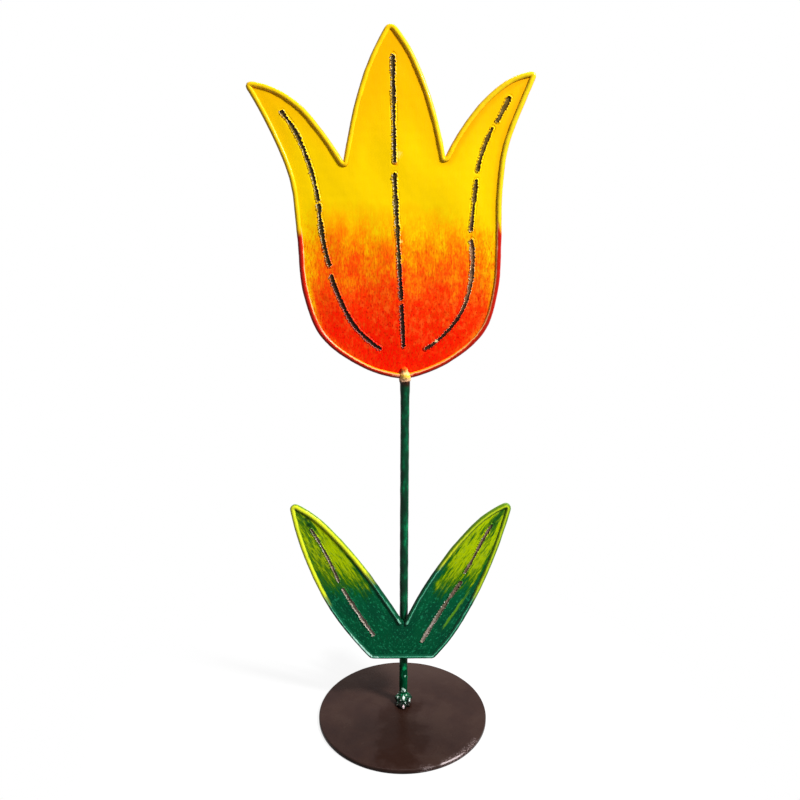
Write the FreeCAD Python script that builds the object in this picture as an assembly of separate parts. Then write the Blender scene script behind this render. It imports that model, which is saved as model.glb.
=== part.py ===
import FreeCAD, Part

import math
import os

os.makedirs("parts", exist_ok=True)

# A painted steel tulip on a round foot. Every length is in millimetres.
# The origin is the middle of the foot's underside, +Z is up and the flower faces -Y.

V = FreeCAD.Vector
UP = V(0, 0, 1)
FRONT_TO_BACK = V(0, 1, 0)

# Foot
BASE_DIAMETER = 102.0
BASE_THICKNESS = 2.5
BASE_EDGE_RADIUS = 0.8
BASE_UNDER_CHAMFER = 0.3

# Stem
ROD_DIAMETER = 4.8
ROD_SIDE_OFFSET = 0.55
ROD_BACK_OFFSET = 7.3
ROD_LEAN_DEGREES = 0.23
ROD_TOP_SADDLE = 0.8

# Flower head: width and height are those of its wire's centre line
FLOWER_BASE_HEIGHT = 209.0
FLOWER_LINE_WIDTH = 149.6
FLOWER_LINE_HEIGHT = 183.4
FLOWER_LEAN_DEGREES = -2.2
FLOWER_WIRE_DIAMETER = 3.2
FLOWER_SHEET_THICKNESS = 1.2

# Leaves: one sheet in front of the stem, measured in the same way
LEAF_BASE_HEIGHT = 36.5
LEAF_LINE_WIDTH = 126.4
LEAF_LINE_HEIGHT = 96.4
LEAF_WIRE_DIAMETER = 3.2
LEAF_SHEET_THICKNESS = 1.2

# Vein slots: torch cuts from both faces that leave a thin burnt web
FLOWER_VEIN_WIDTH = 2.3
LEAF_VEIN_WIDTH = 2.5
VEIN_WEB = 0.3

# Weld at the foot: a skirt round the rod with lobes on it
FOOT_WELD_HEIGHT = 7.0
FOOT_WELD_SKIRT = 2.0
FOOT_WELD_COLLAR = 0.4
FOOT_LOBE_RADIUS = 2.4
FOOT_LOBE_REACH = 2.9
FOOT_LOBE_HEIGHT = 3.2
FOOT_LOBE_ANGLES = (5, 95, 185, 268, 325)

# Weld at the flower: two lumps over the wire and a burnt collar down the rod
HEAD_LUMP_OVER_ROD = 0.75
HEAD_LUMP_DROP = 1.2
HEAD_UPPER_LUMP_RADIUS = 2.3
HEAD_UPPER_LUMP_RISE = 1.6
HEAD_COLLAR_LENGTH = 9.0
HEAD_COLLAR_THICKNESS = 0.5
HEAD_COLLAR_TOE = 0.12

# Tacks
NOTCH_WELD_RADIUS = 2.2
NOTCH_WELD_FORWARD = 0.4
BACK_WELD_RADIUS = 1.7
BACK_WELD_SHIFT = 0.35
RIM_TACK_RADIUS = 1.3

# Outlines of the wires' centre lines. Each run is smooth, and the wire is bent hard where runs meet.
# Across counts from the stem in widths, up counts from the lowest point in heights.
FLOWER_RUNS_SHARES = (
    ((-0.515, 0.859), (-0.438, 0.732), (-0.382, 0.601), (-0.367, 0.437), (-0.356, 0.259),
     (-0.304, 0.137), (-0.180, 0.050), (-0.094, 0.016), (0.000, 0.000), (0.094, 0.018),
     (0.176, 0.049), (0.299, 0.135), (0.349, 0.257), (0.362, 0.392), (0.368, 0.536),
     (0.391, 0.663), (0.455, 0.791), (0.492, 0.855)),
    ((0.480, 0.859), (0.424, 0.847), (0.332, 0.798), (0.255, 0.730), (0.183, 0.640)),
    ((0.165, 0.638), (0.135, 0.762), (0.099, 0.857), (0.047, 0.950), (0.007, 0.997)),
    ((-0.015, 0.998), (-0.083, 0.903), (-0.129, 0.808), (-0.164, 0.707), (-0.185, 0.636)),
    ((-0.203, 0.640), (-0.274, 0.730), (-0.345, 0.799), (-0.437, 0.848), (-0.500, 0.863)),
)
LEAF_RUNS_SHARES = (
    ((-0.017, 0.233), (-0.090, 0.387), (-0.191, 0.584), (-0.305, 0.772), (-0.429, 0.933), (-0.499, 0.990)),
    ((-0.515, 0.975), (-0.494, 0.842), (-0.431, 0.583), (-0.344, 0.336), (-0.226, 0.112), (-0.153, 0.000)),
    ((0.140, 0.002), (0.213, 0.121), (0.314, 0.354), (0.394, 0.596), (0.459, 0.855), (0.485, 0.982)),
    ((0.471, 1.000), (0.394, 0.940), (0.273, 0.781), (0.172, 0.600), (0.082, 0.407), (0.016, 0.228)),
)

# Vein slots in the same measure: one line of points for each unbroken cut
FLOWER_VEINS_SHARES = (
    ((-0.001, 0.935), (-0.009, 0.634)),
    ((-0.011, 0.600), (-0.007, 0.397), (-0.003, 0.237)),
    ((-0.003, 0.219), (-0.001, 0.090)),
    ((-0.408, 0.793), (-0.363, 0.736), (-0.326, 0.663), (-0.292, 0.534)),
    ((-0.290, 0.521), (-0.284, 0.437), (-0.264, 0.343)),
    ((-0.260, 0.314), (-0.229, 0.238), (-0.185, 0.164), (-0.089, 0.087)),
    ((0.410, 0.803), (0.359, 0.731)),
    ((0.345, 0.718), (0.311, 0.660), (0.289, 0.600)),
    ((0.284, 0.574), (0.261, 0.431)),
    ((0.262, 0.402), (0.265, 0.333), (0.251, 0.256), (0.225, 0.197), (0.174, 0.140), (0.078, 0.080)),
)
LEAF_VEINS_SHARES = (
    ((-0.442, 0.873), (-0.393, 0.761), (-0.319, 0.545)),
    ((-0.297, 0.477), (-0.257, 0.387), (-0.138, 0.138)),
    ((0.411, 0.880), (0.370, 0.782), (0.310, 0.619)),
    ((0.276, 0.518), (0.234, 0.432), (0.085, 0.099)),
)

# Where the tacks sit: a share of a run's row of arcs picks one arc, which has the tack at its middle
FLOWER_TACK_SHARES = ((0.05, 0.16, 0.25, 0.34, 0.57, 0.69, 0.81, 0.93), (0.31, 0.81), (0.19, 0.69),
                      (0.19, 0.69), (0.19, 0.69))
LEAF_TACK_SHARES = ((0.25, 0.55, 0.85), (0.15, 0.45, 0.75), (0.15, 0.55, 0.85), (0.15, 0.45, 0.85))


def unit(vector):
    """The same direction with length one."""
    return vector * (1.0 / vector.Length)


def arc_edge(start, direction, end):
    """An arc, or a line, that leaves start along direction and stops at end."""
    along = unit(end - start)
    across = direction - along * direction.dot(along)
    half_turn = math.atan2(across.Length, direction.dot(along))
    if math.isclose(half_turn, 0.0, abs_tol=1e-6):
        return Part.LineSegment(start, end).toShape()
    rise = 0.5 * (end - start).Length * math.tan(0.5 * half_turn)
    middle = (start + end) * 0.5 + unit(across) * rise
    return Part.Arc(start, middle, end).toShape()


def two_arcs(start, start_way, end, end_way):
    """Two arcs with a common tangent that join two points along the given ways."""
    gap = end - start
    ways = start_way + end_way
    root = math.sqrt(gap.dot(ways) ** 2 + 2.0 * (1.0 - start_way.dot(end_way)) * gap.dot(gap))
    reach = gap.dot(gap) / (gap.dot(ways) + root)
    middle = (start + end + (start_way - end_way) * reach) * 0.5
    middle_way = unit(gap - ways * reach)
    return [arc_edge(start, start_way, middle), arc_edge(middle, middle_way, end)]


def smooth_edges(points):
    """A smooth row of arcs through the points. Each inner tangent is that of the circle through a
    point and its neighbours, and the first and last are mirrored in their chords."""
    if len(points) == 2:
        return [Part.LineSegment(points[0], points[1]).toShape()]
    chords = [after - before for before, after in zip(points, points[1:])]
    ways = [
        unit(unit(before) * after.Length + unit(after) * before.Length)
        for before, after in zip(chords, chords[1:])
    ]
    first = unit(chords[0]) * (2.0 * unit(chords[0]).dot(ways[0])) - ways[0]
    last = unit(chords[-1]) * (2.0 * unit(chords[-1]).dot(ways[-1])) - ways[-1]
    ways = [first] + ways + [last]
    edges = []
    for number in range(len(chords)):
        edges += two_arcs(points[number], ways[number], points[number + 1], ways[number + 1])
    return edges


def placed_points(shares, width, height):
    """Points in the XZ plane from shares of a width and a height."""
    return [V(across * width, 0, up * height) for across, up in shares]


def outline_runs(runs_shares, width, height):
    """Each smooth run of an outline, as a list of edges."""
    return [smooth_edges(placed_points(shares, width, height)) for shares in runs_shares]


def closed_face(runs):
    """The face inside the runs, whose ends are joined by short straight edges."""
    edges = []
    for run, following in zip(runs, runs[1:] + runs[:1]):
        start = Part.Wire(run).OrderedVertexes[-1].Point
        end = Part.Wire(following).OrderedVertexes[0].Point
        edges += run + [Part.LineSegment(start, end).toShape()]
    return Part.Face(Part.Wire(edges))


def round_bar(run, radius):
    """A round bar along a smooth row of edges."""
    path = Part.Wire(run)
    first = path.OrderedVertexes[0].Point
    ring = Part.Wire(Part.makeCircle(radius, first, run[0].tangentAt(run[0].FirstParameter)))
    return path.makePipeShell([ring], True, False)


def bent_wire(runs, radius, closed):
    """Round wire along the runs. A ball at each end of a run makes the hard bends full."""
    pieces = []
    ends = []
    for run in runs:
        vertexes = Part.Wire(run).OrderedVertexes
        first = vertexes[0].Point
        last = vertexes[-1].Point
        pieces.append(round_bar(run, radius))
        pieces += [Part.makeSphere(radius, first), Part.makeSphere(radius, last)]
        ends += [first, last]
    joins = list(zip(ends[1::2], ends[2::2]))
    if closed:
        joins.append((ends[-1], ends[0]))
    for start, end in joins:
        pieces.append(Part.makeCylinder(radius, (end - start).Length, start, end - start))
    return pieces[0].multiFuse(pieces[1:])


def slot_face(points, width):
    """A band of constant width round a smooth line of points, with round ends."""
    line = smooth_edges(points)
    ways = [line[0].tangentAt(line[0].FirstParameter)]
    ways += [edge.tangentAt(edge.LastParameter) for edge in line[1::2]] or [ways[0]]
    shifts = [way.cross(FRONT_TO_BACK) * (0.5 * width) for way in ways]
    left = [spot + shift for spot, shift in zip(points, shifts)]
    right = [spot - shift for spot, shift in zip(points, shifts)]
    far = Part.Arc(left[-1], points[-1] + ways[-1] * (0.5 * width), right[-1]).toShape()
    near = Part.Arc(right[0], points[0] - ways[0] * (0.5 * width), left[0]).toShape()
    back = smooth_edges(right[::-1])
    return Part.Face(Part.Wire(smooth_edges(left) + [far] + back + [near]))


def vein_cuts(veins_shares, width, height, slot_width, thickness):
    """The cuts of every vein, from both faces of a sheet down to the web between them."""
    depth = 0.5 * (thickness - VEIN_WEB)
    cuts = []
    for shares in veins_shares:
        face = slot_face(placed_points(shares, width, height), slot_width)
        for start in (-0.5 * thickness, 0.5 * VEIN_WEB):
            cut = face.extrude(FRONT_TO_BACK * depth)
            cut.translate(FRONT_TO_BACK * start)
            cuts.append(cut)
    return cuts


def rimmed_sheet(runs, thickness, wire, cuts):
    """Sheet that fills a wire outline and seats on the wire, with its vein cuts."""
    blank = closed_face(runs).extrude(FRONT_TO_BACK * thickness)
    blank.translate(FRONT_TO_BACK * (-0.5 * thickness))
    return blank.cut([wire] + cuts)


def rim_tacks(runs, tack_shares, wire_radius, thickness):
    """Beads in the back corner between a wire and its sheet, on the inner side of each run."""
    beads = []
    for run, shares in zip(runs, tack_shares):
        for share in shares:
            arc = run[int(share * len(run))]
            middle = 0.5 * (arc.FirstParameter + arc.LastParameter)
            inwards = unit(arc.tangentAt(middle)).cross(FRONT_TO_BACK)
            spot = arc.valueAt(middle) + inwards * wire_radius + FRONT_TO_BACK * (0.5 * thickness)
            bead = Part.makeSphere(RIM_TACK_RADIUS, spot, FRONT_TO_BACK, 0, 90)
            beads.append(bead.cut(round_bar([arc], wire_radius)))
    return Part.makeCompound(beads)


def on_flower(shape):
    """Moves a shape from the flower's own frame to the top of the stem."""
    moved = shape.copy()
    moved.rotate(V(0, 0, 0), FRONT_TO_BACK, FLOWER_LEAN_DEGREES)
    moved.translate(rod_point(FLOWER_BASE_HEIGHT))
    return moved


def on_leaves(shape):
    """Moves a shape from the leaves' own frame to its place in front of the stem."""
    moved = shape.copy()
    moved.translate(rod_point(LEAF_BASE_HEIGHT) - FRONT_TO_BACK * leaf_stand_off())
    return moved


def leaf_stand_off():
    """How far the leaves' wire lies in front of the stem's axis when the two touch."""
    return 0.5 * (ROD_DIAMETER + LEAF_WIRE_DIAMETER)


def rod_point(height):
    """The point of the leaning stem's axis at a height over the floor."""
    drift = (height - BASE_THICKNESS) * math.tan(math.radians(ROD_LEAN_DEGREES))
    return V(ROD_SIDE_OFFSET + drift, ROD_BACK_OFFSET, height)


def base_disc():
    """The foot: a disc with a rounded top edge and a small chamfer below."""
    disc = Part.makeCylinder(0.5 * BASE_DIAMETER, BASE_THICKNESS)
    rims = [edge for edge in disc.Edges if edge.Curve.TypeId == "Part::GeomCircle"]
    top = [edge for edge in rims if edge.Curve.Center.z > 0]
    bottom = [edge for edge in rims if edge.Curve.Center.z <= 0]
    return disc.makeFillet(BASE_EDGE_RADIUS, top).makeChamfer(BASE_UNDER_CHAMFER, bottom)


def rod_between(low, high, radius):
    """A round bar on the stem's axis between two heights."""
    start = rod_point(low)
    axis = rod_point(high) - start
    return Part.makeCylinder(radius, axis.Length, start, axis)


def stem_rod(disc, flower_wire):
    """The stem, cut off at the foot and saddled to the flower's wire."""
    top = FLOWER_BASE_HEIGHT - 0.5 * FLOWER_WIRE_DIAMETER + ROD_TOP_SADDLE
    return rod_between(0.5 * BASE_THICKNESS, top, 0.5 * ROD_DIAMETER).cut([disc, flower_wire])


def foot_weld(disc, rod):
    """The bead round the stem's foot: a tapered skirt with lobes."""
    foot = rod_point(BASE_THICKNESS)
    radius = 0.5 * ROD_DIAMETER
    skirt = Part.makeCone(radius + FOOT_WELD_SKIRT, radius + FOOT_WELD_COLLAR, FOOT_WELD_HEIGHT, foot, UP)
    lobes = []
    for angle in FOOT_LOBE_ANGLES:
        turn = math.radians(angle)
        reach = V(math.cos(turn), math.sin(turn), 0) * FOOT_LOBE_REACH
        lobes.append(Part.makeSphere(FOOT_LOBE_RADIUS, foot + reach + UP * FOOT_LOBE_HEIGHT))
    return skirt.multiFuse(lobes).cut([disc, rod])


def flower_stem_weld(neighbours):
    """The bead at the stem's top: two lumps and a thin collar."""
    radius = 0.5 * ROD_DIAMETER
    wire_radius = 0.5 * FLOWER_WIRE_DIAMETER
    main = rod_point(FLOWER_BASE_HEIGHT - HEAD_LUMP_DROP)
    upper = rod_point(FLOWER_BASE_HEIGHT + HEAD_UPPER_LUMP_RISE)
    lumps = [
        Part.makeSphere(radius + HEAD_LUMP_OVER_ROD, main),
        Part.makeSphere(HEAD_UPPER_LUMP_RADIUS, upper),
    ]
    top = rod_point(FLOWER_BASE_HEIGHT - wire_radius)
    axis = rod_point(FLOWER_BASE_HEIGHT - HEAD_COLLAR_LENGTH) - top
    collar = Part.makeCone(
        radius + HEAD_COLLAR_THICKNESS, radius + HEAD_COLLAR_TOE, axis.Length, top, axis
    )
    return collar.multiFuse(lumps).cut(neighbours)


def leaf_notch_weld(notch_height, neighbours):
    """The bead in the leaves' notch, over the front of the stem."""
    spot = rod_point(notch_height) - FRONT_TO_BACK * (0.5 * ROD_DIAMETER + NOTCH_WELD_FORWARD)
    return Part.makeSphere(NOTCH_WELD_RADIUS, spot, FRONT_TO_BACK).cut(neighbours)


def leaf_back_welds(neighbours):
    """A bead on each side of the stem behind the leaves' lower wire."""
    radius = 0.5 * ROD_DIAMETER
    beads = []
    for side in (-1, 1):
        spot = rod_point(LEAF_BASE_HEIGHT) + V(side * (radius + BACK_WELD_SHIFT), BACK_WELD_SHIFT - radius, 0)
        beads.append(Part.makeSphere(BACK_WELD_RADIUS, spot, FRONT_TO_BACK).cut(neighbours))
    return Part.makeCompound(beads)


def build():
    """Every node of the model, by name."""
    disc = base_disc()

    flower_runs = outline_runs(FLOWER_RUNS_SHARES, FLOWER_LINE_WIDTH, FLOWER_LINE_HEIGHT)
    flower_wire_radius = 0.5 * FLOWER_WIRE_DIAMETER
    flower_wire = bent_wire(flower_runs, flower_wire_radius, True)
    flower_cuts = vein_cuts(
        FLOWER_VEINS_SHARES, FLOWER_LINE_WIDTH, FLOWER_LINE_HEIGHT, FLOWER_VEIN_WIDTH, FLOWER_SHEET_THICKNESS
    )
    flower_sheet = rimmed_sheet(flower_runs, FLOWER_SHEET_THICKNESS, flower_wire, flower_cuts)
    flower_tacks = rim_tacks(flower_runs, FLOWER_TACK_SHARES, flower_wire_radius, FLOWER_SHEET_THICKNESS)

    leaf_runs = outline_runs(LEAF_RUNS_SHARES, LEAF_LINE_WIDTH, LEAF_LINE_HEIGHT)
    leaf_wire_radius = 0.5 * LEAF_WIRE_DIAMETER
    leaf_wire = bent_wire(leaf_runs, leaf_wire_radius, False)
    leaf_cuts = vein_cuts(
        LEAF_VEINS_SHARES, LEAF_LINE_WIDTH, LEAF_LINE_HEIGHT, LEAF_VEIN_WIDTH, LEAF_SHEET_THICKNESS
    )
    leaf_sheet = rimmed_sheet(leaf_runs, LEAF_SHEET_THICKNESS, leaf_wire, leaf_cuts)
    leaf_tacks = rim_tacks(leaf_runs, LEAF_TACK_SHARES, leaf_wire_radius, LEAF_SHEET_THICKNESS)

    flower_wire = on_flower(flower_wire)
    flower_sheet = on_flower(flower_sheet)
    leaf_wire = on_leaves(leaf_wire)
    leaf_sheet = on_leaves(leaf_sheet)
    rod = stem_rod(disc, flower_wire)
    notch_height = LEAF_BASE_HEIGHT + LEAF_RUNS_SHARES[0][0][1] * LEAF_LINE_HEIGHT

    return {
        "base_disc": disc,
        "stem_rod": rod,
        "foot_weld": foot_weld(disc, rod),
        "flower_sheet": flower_sheet,
        "flower_rim_wire": flower_wire,
        "flower_rim_tacks": on_flower(flower_tacks),
        "flower_stem_weld": flower_stem_weld([rod, flower_wire, flower_sheet]),
        "leaf_sheet": leaf_sheet,
        "leaf_rim_wire": leaf_wire,
        "leaf_rim_tacks": on_leaves(leaf_tacks),
        "leaf_notch_weld": leaf_notch_weld(notch_height, [rod, leaf_wire, leaf_sheet]),
        "leaf_back_welds": leaf_back_welds([rod, leaf_wire, leaf_sheet]),
    }


for name, shape in build().items():
    shape.exportStep("parts/" + name + ".step")
    print(name, shape.isValid(), len(shape.Solids), round(shape.Volume, 2))
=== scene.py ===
# %% [markdown]
# # A painted steel tulip
# The ornament is thin steel sheet edged with round wire, welded to a rod on a round foot and painted by
# brush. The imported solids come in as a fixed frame, and each is dressed with a finer surface. Everything
# is in metres, +Z is up and the flower faces -Y, as in the frame.

# %% Load the frame
import bpy
import math
import numpy as np
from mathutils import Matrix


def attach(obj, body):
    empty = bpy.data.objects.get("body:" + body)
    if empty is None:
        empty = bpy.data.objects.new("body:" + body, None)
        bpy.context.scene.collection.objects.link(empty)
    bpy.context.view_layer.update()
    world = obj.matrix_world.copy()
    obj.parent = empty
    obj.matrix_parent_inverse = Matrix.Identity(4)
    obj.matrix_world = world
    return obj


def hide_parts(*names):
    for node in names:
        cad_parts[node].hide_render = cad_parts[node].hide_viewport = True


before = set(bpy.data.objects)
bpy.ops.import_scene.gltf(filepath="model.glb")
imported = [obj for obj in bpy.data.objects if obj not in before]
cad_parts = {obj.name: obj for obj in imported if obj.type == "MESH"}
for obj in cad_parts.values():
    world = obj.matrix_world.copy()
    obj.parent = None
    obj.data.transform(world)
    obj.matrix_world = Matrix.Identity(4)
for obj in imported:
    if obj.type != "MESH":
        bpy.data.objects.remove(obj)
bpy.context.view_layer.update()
MM = 0.001

# %% [markdown]
# ## Camera
# The picture was taken from a little above the leaves' height, close by, so the foot shows as an ellipse
# and the flower is seen almost flat. A camera in front of the flower, pitched down ten degrees, gives
# both, and upright lines stay nearly upright.

# %% Camera
CAMERA_PITCH = 10.19
camera = bpy.data.objects.new("camera", bpy.data.cameras.new("camera"))
camera.data.lens = 29.25
camera.data.sensor_width = 36
camera.data.clip_start = 0.01
camera.location = (-0.0015, -0.3605, 0.2610)
camera.rotation_euler = (math.radians(90 - CAMERA_PITCH), 0, 0)
bpy.context.scene.collection.objects.link(camera)
bpy.context.scene.camera = camera
print("camera at", tuple(camera.location))

# %% [markdown]
# ## Smooth lines
# A wire outline is a few points given as shares of a width and a height, with a smooth line through them.
# Straight steps would show as corners in the wire. So a cubic joins each two points, and it takes its
# directions from the points beside them.

# %% Smooth lines
CUBIC_STEPS = 64


def cubic_between(start, end, leave, arrive, t):
    """The cubic at the shares t of its way: start x (1 + 2t)(1 - t)^2 + leave x t(1 - t)^2
    + end x t^2(3 - 2t) + arrive x t^2(t - 1). It leaves and arrives with these two speeds."""
    return (start * (1 + 2 * t) * (1 - t) ** 2 + leave * t * (1 - t) ** 2
            + end * t * t * (3 - 2 * t) + arrive * t * t * (t - 1))


def even_line(line, step):
    """The same line with its points an even step apart, measured along it."""
    run = np.concatenate([[0], np.cumsum(np.linalg.norm(np.diff(line, axis=0), axis=1))])
    even = np.linspace(0, run[-1], max(2, round(run[-1] / step)) + 1)
    return np.column_stack([np.interp(even, run, line[:, 0]), np.interp(even, run, line[:, 1])])


def smooth_line(shares, size, step):
    """Points about a step apart on a smooth line through shares of a width and a height.

    The tangent at an inner point is that of the circle through it and its neighbours: the two chords'
    directions, each weighted by the other chord's length. The end tangents are mirrored in their chords.
    Between two points the line is the cubic that has their tangents, each as long as the chord."""
    points = np.array(shares) * size
    chords = np.diff(points, axis=0)
    lengths = np.linalg.norm(chords, axis=1)[:, None]
    ways = chords / lengths
    tangents = np.vstack([ways, ways])
    if len(points) > 2:
        inner = ways[:-1] * lengths[1:] + ways[1:] * lengths[:-1]
        inner /= np.linalg.norm(inner, axis=1)[:, None]
        first = 2 * (ways[0] @ inner[0]) * ways[0] - inner[0]
        last = 2 * (ways[-1] @ inner[-1]) * ways[-1] - inner[-1]
        tangents = np.vstack([first, inner, last])
    t = np.linspace(0, 1, CUBIC_STEPS, endpoint=False)[None, :, None]
    leave, arrive = (tangents[:-1] * lengths)[:, None], (tangents[1:] * lengths)[:, None]
    cubic = cubic_between(points[:-1, None], points[1:, None], leave, arrive, t)
    return even_line(np.vstack([cubic.reshape(-1, 2), points[-1:]]), step)


print("points on a line through three", len(smooth_line(((0, 0), (0.5, 0.2), (1, 0)), 1, 0.1)))

# %% [markdown]
# ## Random waves
# Hand work is never even, so most surfaces also need a small random wave. It is a sum of sines in random
# directions, worked out for all points at once, and a smooth step fades it out where it must not reach.

# %% Random waves
def wander(points, size, seed, waves=14):
    """A smooth random field about 1 high: a sum of sines along random directions, whose wavelengths
    lie round the given size."""
    chance = np.random.default_rng(seed)
    ways = chance.normal(size=(waves, points.shape[-1]))
    ways /= np.linalg.norm(ways, axis=1)[:, None]
    ways *= 2 * math.pi / (size * chance.uniform(0.6, 1.6, waves))[:, None]
    return np.sin(points @ ways.T + chance.uniform(0, 2 * math.pi, waves)).sum(-1) * math.sqrt(2 / waves)


def ease(low, high, value):
    """0 below low, 1 above high, and a smooth step between."""
    t = np.clip((value - low) / (high - low), 0, 1)
    return t * t * (3 - 2 * t)


print("a quarter of the way up the smooth step", ease(0, 1, 0.25))

# %% [markdown]
# ## Outlines
# The flower's wire has five smooth runs: from the left petal's tip down round the cup and up to the right
# petal's, then down and up each gap between the petals. The leaves' wire has four, from the notch up the
# left leaf and down its outer side, and the same back on the right.

# %% Outlines
FLOWER_SIZE = (149.6 * MM, 183.4 * MM)
LEAF_SIZE = (126.4 * MM, 96.4 * MM)
NOTCH_SHARE = 0.233
WIRE_STEP = 0.6 * MM
FLOWER_RUNS_SHARES = (
    ((-0.515, 0.859), (-0.438, 0.732), (-0.382, 0.601), (-0.367, 0.437), (-0.356, 0.259),
     (-0.304, 0.137), (-0.180, 0.050), (-0.094, 0.016), (0.000, 0.000), (0.094, 0.018),
     (0.176, 0.049), (0.299, 0.135), (0.349, 0.257), (0.362, 0.392), (0.368, 0.536),
     (0.391, 0.663), (0.455, 0.791), (0.492, 0.855)),
    ((0.480, 0.859), (0.424, 0.847), (0.332, 0.798), (0.255, 0.730), (0.183, 0.640)),
    ((0.165, 0.638), (0.135, 0.762), (0.099, 0.857), (0.047, 0.950), (0.007, 0.997)),
    ((-0.015, 0.998), (-0.083, 0.903), (-0.129, 0.808), (-0.164, 0.707), (-0.185, 0.636)),
    ((-0.203, 0.640), (-0.274, 0.730), (-0.345, 0.799), (-0.437, 0.848), (-0.500, 0.863)),
)
LEAF_RUNS_SHARES = (
    ((-0.017, NOTCH_SHARE), (-0.090, 0.387), (-0.191, 0.584), (-0.305, 0.772), (-0.429, 0.933),
     (-0.499, 0.990)),
    ((-0.515, 0.975), (-0.494, 0.842), (-0.431, 0.583), (-0.344, 0.336), (-0.226, 0.112), (-0.153, 0.000)),
    ((0.140, 0.002), (0.213, 0.121), (0.314, 0.354), (0.394, 0.596), (0.459, 0.855), (0.485, 0.982)),
    ((0.471, 1.000), (0.394, 0.940), (0.273, 0.781), (0.172, 0.600), (0.082, 0.407), (0.016, 0.228)),
)
flower_runs = [smooth_line(run, FLOWER_SIZE, WIRE_STEP) for run in FLOWER_RUNS_SHARES]
leaf_runs = [smooth_line(run, LEAF_SIZE, WIRE_STEP) for run in LEAF_RUNS_SHARES]
print("points on the flower's wire", sum(map(len, flower_runs)), "on the leaves'", sum(map(len, leaf_runs)))

# %% [markdown]
# ## Closed shells
# Every surface here is a grid of points, rows by columns. Quads join the neighbours, and where the last
# column meets the first the grid is a tube, closed by a cap at each end. If a shell comes out inside out,
# its volume is negative, and its faces are turned over.

# %% Closed shells
def band(rows, columns, around=True):
    """Quads between the neighbours of a grid; around joins the last column to the first."""
    row = np.arange(rows - 1)[:, None] * columns
    column = np.arange(columns if around else columns - 1)[None, :]
    after = (column + 1) % columns
    corners = (row + column, row + after, row + columns + after, row + columns + column)
    return np.stack(np.broadcast_arrays(*corners), -1).reshape(-1, 4)


def ring_shell(rings, **values):
    """A closed shell from rings of points, one behind the other, with a cap on the first and the last."""
    rows, columns = rings.shape[:2]
    points = rings.reshape(-1, 3)
    quads = band(rows, columns)
    caps = np.array([np.arange(columns)[::-1], np.arange(columns) + (rows - 1) * columns])
    a, b, c = ((points - points.mean(0))[quads[:, k]] for k in (0, 1, 2))
    if (np.cross(b - a, c - a) * a).sum() < 0:
        quads, caps = quads[:, ::-1], caps[:, ::-1]
    spread = {key: np.broadcast_to(value, (rows, columns)).reshape(-1) for key, value in values.items()}
    return {"points": points, "faces": [quads, caps], "values": spread}


def angles_round(sides):
    """One row of even angles, once round."""
    return np.linspace(0, 2 * math.pi, sides, endpoint=False)[None, :]


print("quads on a tube of 3 rings of 4 points", len(band(3, 4)))

# %% [markdown]
# ## Pieces
# A piece can hold several shells. It is one mesh, rides on the root, and hides the solids of the frame
# that it stands in for. What a shell knows about its points goes along.

# %% Pieces
def make_piece(name, shells, replaced=(), place=None):
    """One mesh piece from shells. Their values become attributes of its points, and place, if it is
    given, is a function that moves the points from a flat plane to where they belong."""
    starts = np.cumsum([0] + [len(shell["points"]) for shell in shells])
    faces = []
    for shell, start in zip(shells, starts):
        for group in shell["faces"]:
            faces += (group + start).tolist()
    points = np.vstack([shell["points"] for shell in shells])
    if place:
        points = place(points)
    mesh = bpy.data.meshes.new(name)
    mesh.from_pydata(points.tolist(), [], faces)
    for key in shells[0]["values"]:
        values = np.concatenate([shell["values"][key] for shell in shells]).astype(np.float32)
        mesh.attributes.new(key, "FLOAT", "POINT").data.foreach_set("value", values)
    mesh.shade_smooth()
    piece = bpy.data.objects.new(name, mesh)
    bpy.context.scene.collection.objects.link(piece)
    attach(piece, "root")
    if replaced:
        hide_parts(*replaced)
    print(name, len(points), "points in", len(shells), "shells")
    return piece


# %% [markdown]
# ## Where the flower and the leaves sit
# The stem leans a hair to the right, the flower head leans the same way a little more, and the leaves
# stand in front of the rod. Working each out flat, in its own plane, and then moving it keeps sums short.

# %% Places
ROD_SIDE, ROD_BACK, ROD_LEAN = 0.55 * MM, 7.3 * MM, math.tan(math.radians(0.23))
DISC_THICKNESS = 2.5 * MM
FLOWER_BASE, FLOWER_LEAN = 209.0 * MM, math.radians(-2.2)
LEAF_BASE, LEAF_STAND_OFF = 36.5 * MM, 4.0 * MM
ROD_RADIUS, WIRE_RADIUS, SHEET_HALF = 2.4 * MM, 1.6 * MM, 0.6 * MM


def rod_point(height):
    """The leaning stem's middle at each height."""
    height = np.asarray(height, float)
    side = ROD_SIDE + (height - DISC_THICKNESS) * ROD_LEAN
    return np.stack([side, np.full_like(height, ROD_BACK), height], -1)


def on_flower(points):
    """Points of the flower's plane, turned about Y by its lean and lifted to the stem's top."""
    cos, sin = math.cos(FLOWER_LEAN), math.sin(FLOWER_LEAN)
    x, y, z = np.moveaxis(points, -1, 0)
    return np.stack([x * cos + z * sin, y, z * cos - x * sin], -1) + rod_point(FLOWER_BASE)


def on_leaves(points):
    """Points of the leaves' plane, moved in front of the stem."""
    return points + rod_point(LEAF_BASE) - (0, LEAF_STAND_OFF, 0)


print("flower from", rod_point(FLOWER_BASE), "leaves from", rod_point(LEAF_BASE))

# %% [markdown]
# ## Bent wire
# The rim is round wire bent along the sheet's edge, with hard bends at the petals' tips and notches. The
# smooth runs are joined there by short cubic bows, and the whole line is averaged over less than the
# wire's own thickness, as a real wire can't bend sharper.

# %% Bent wire
WIDEST_BEND = 6 * MM
BOW_STEPS = 15
BLUR, BLUR_STEP, BLUR_REACH = 0.38 * MM, 0.2 * MM, 12


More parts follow.
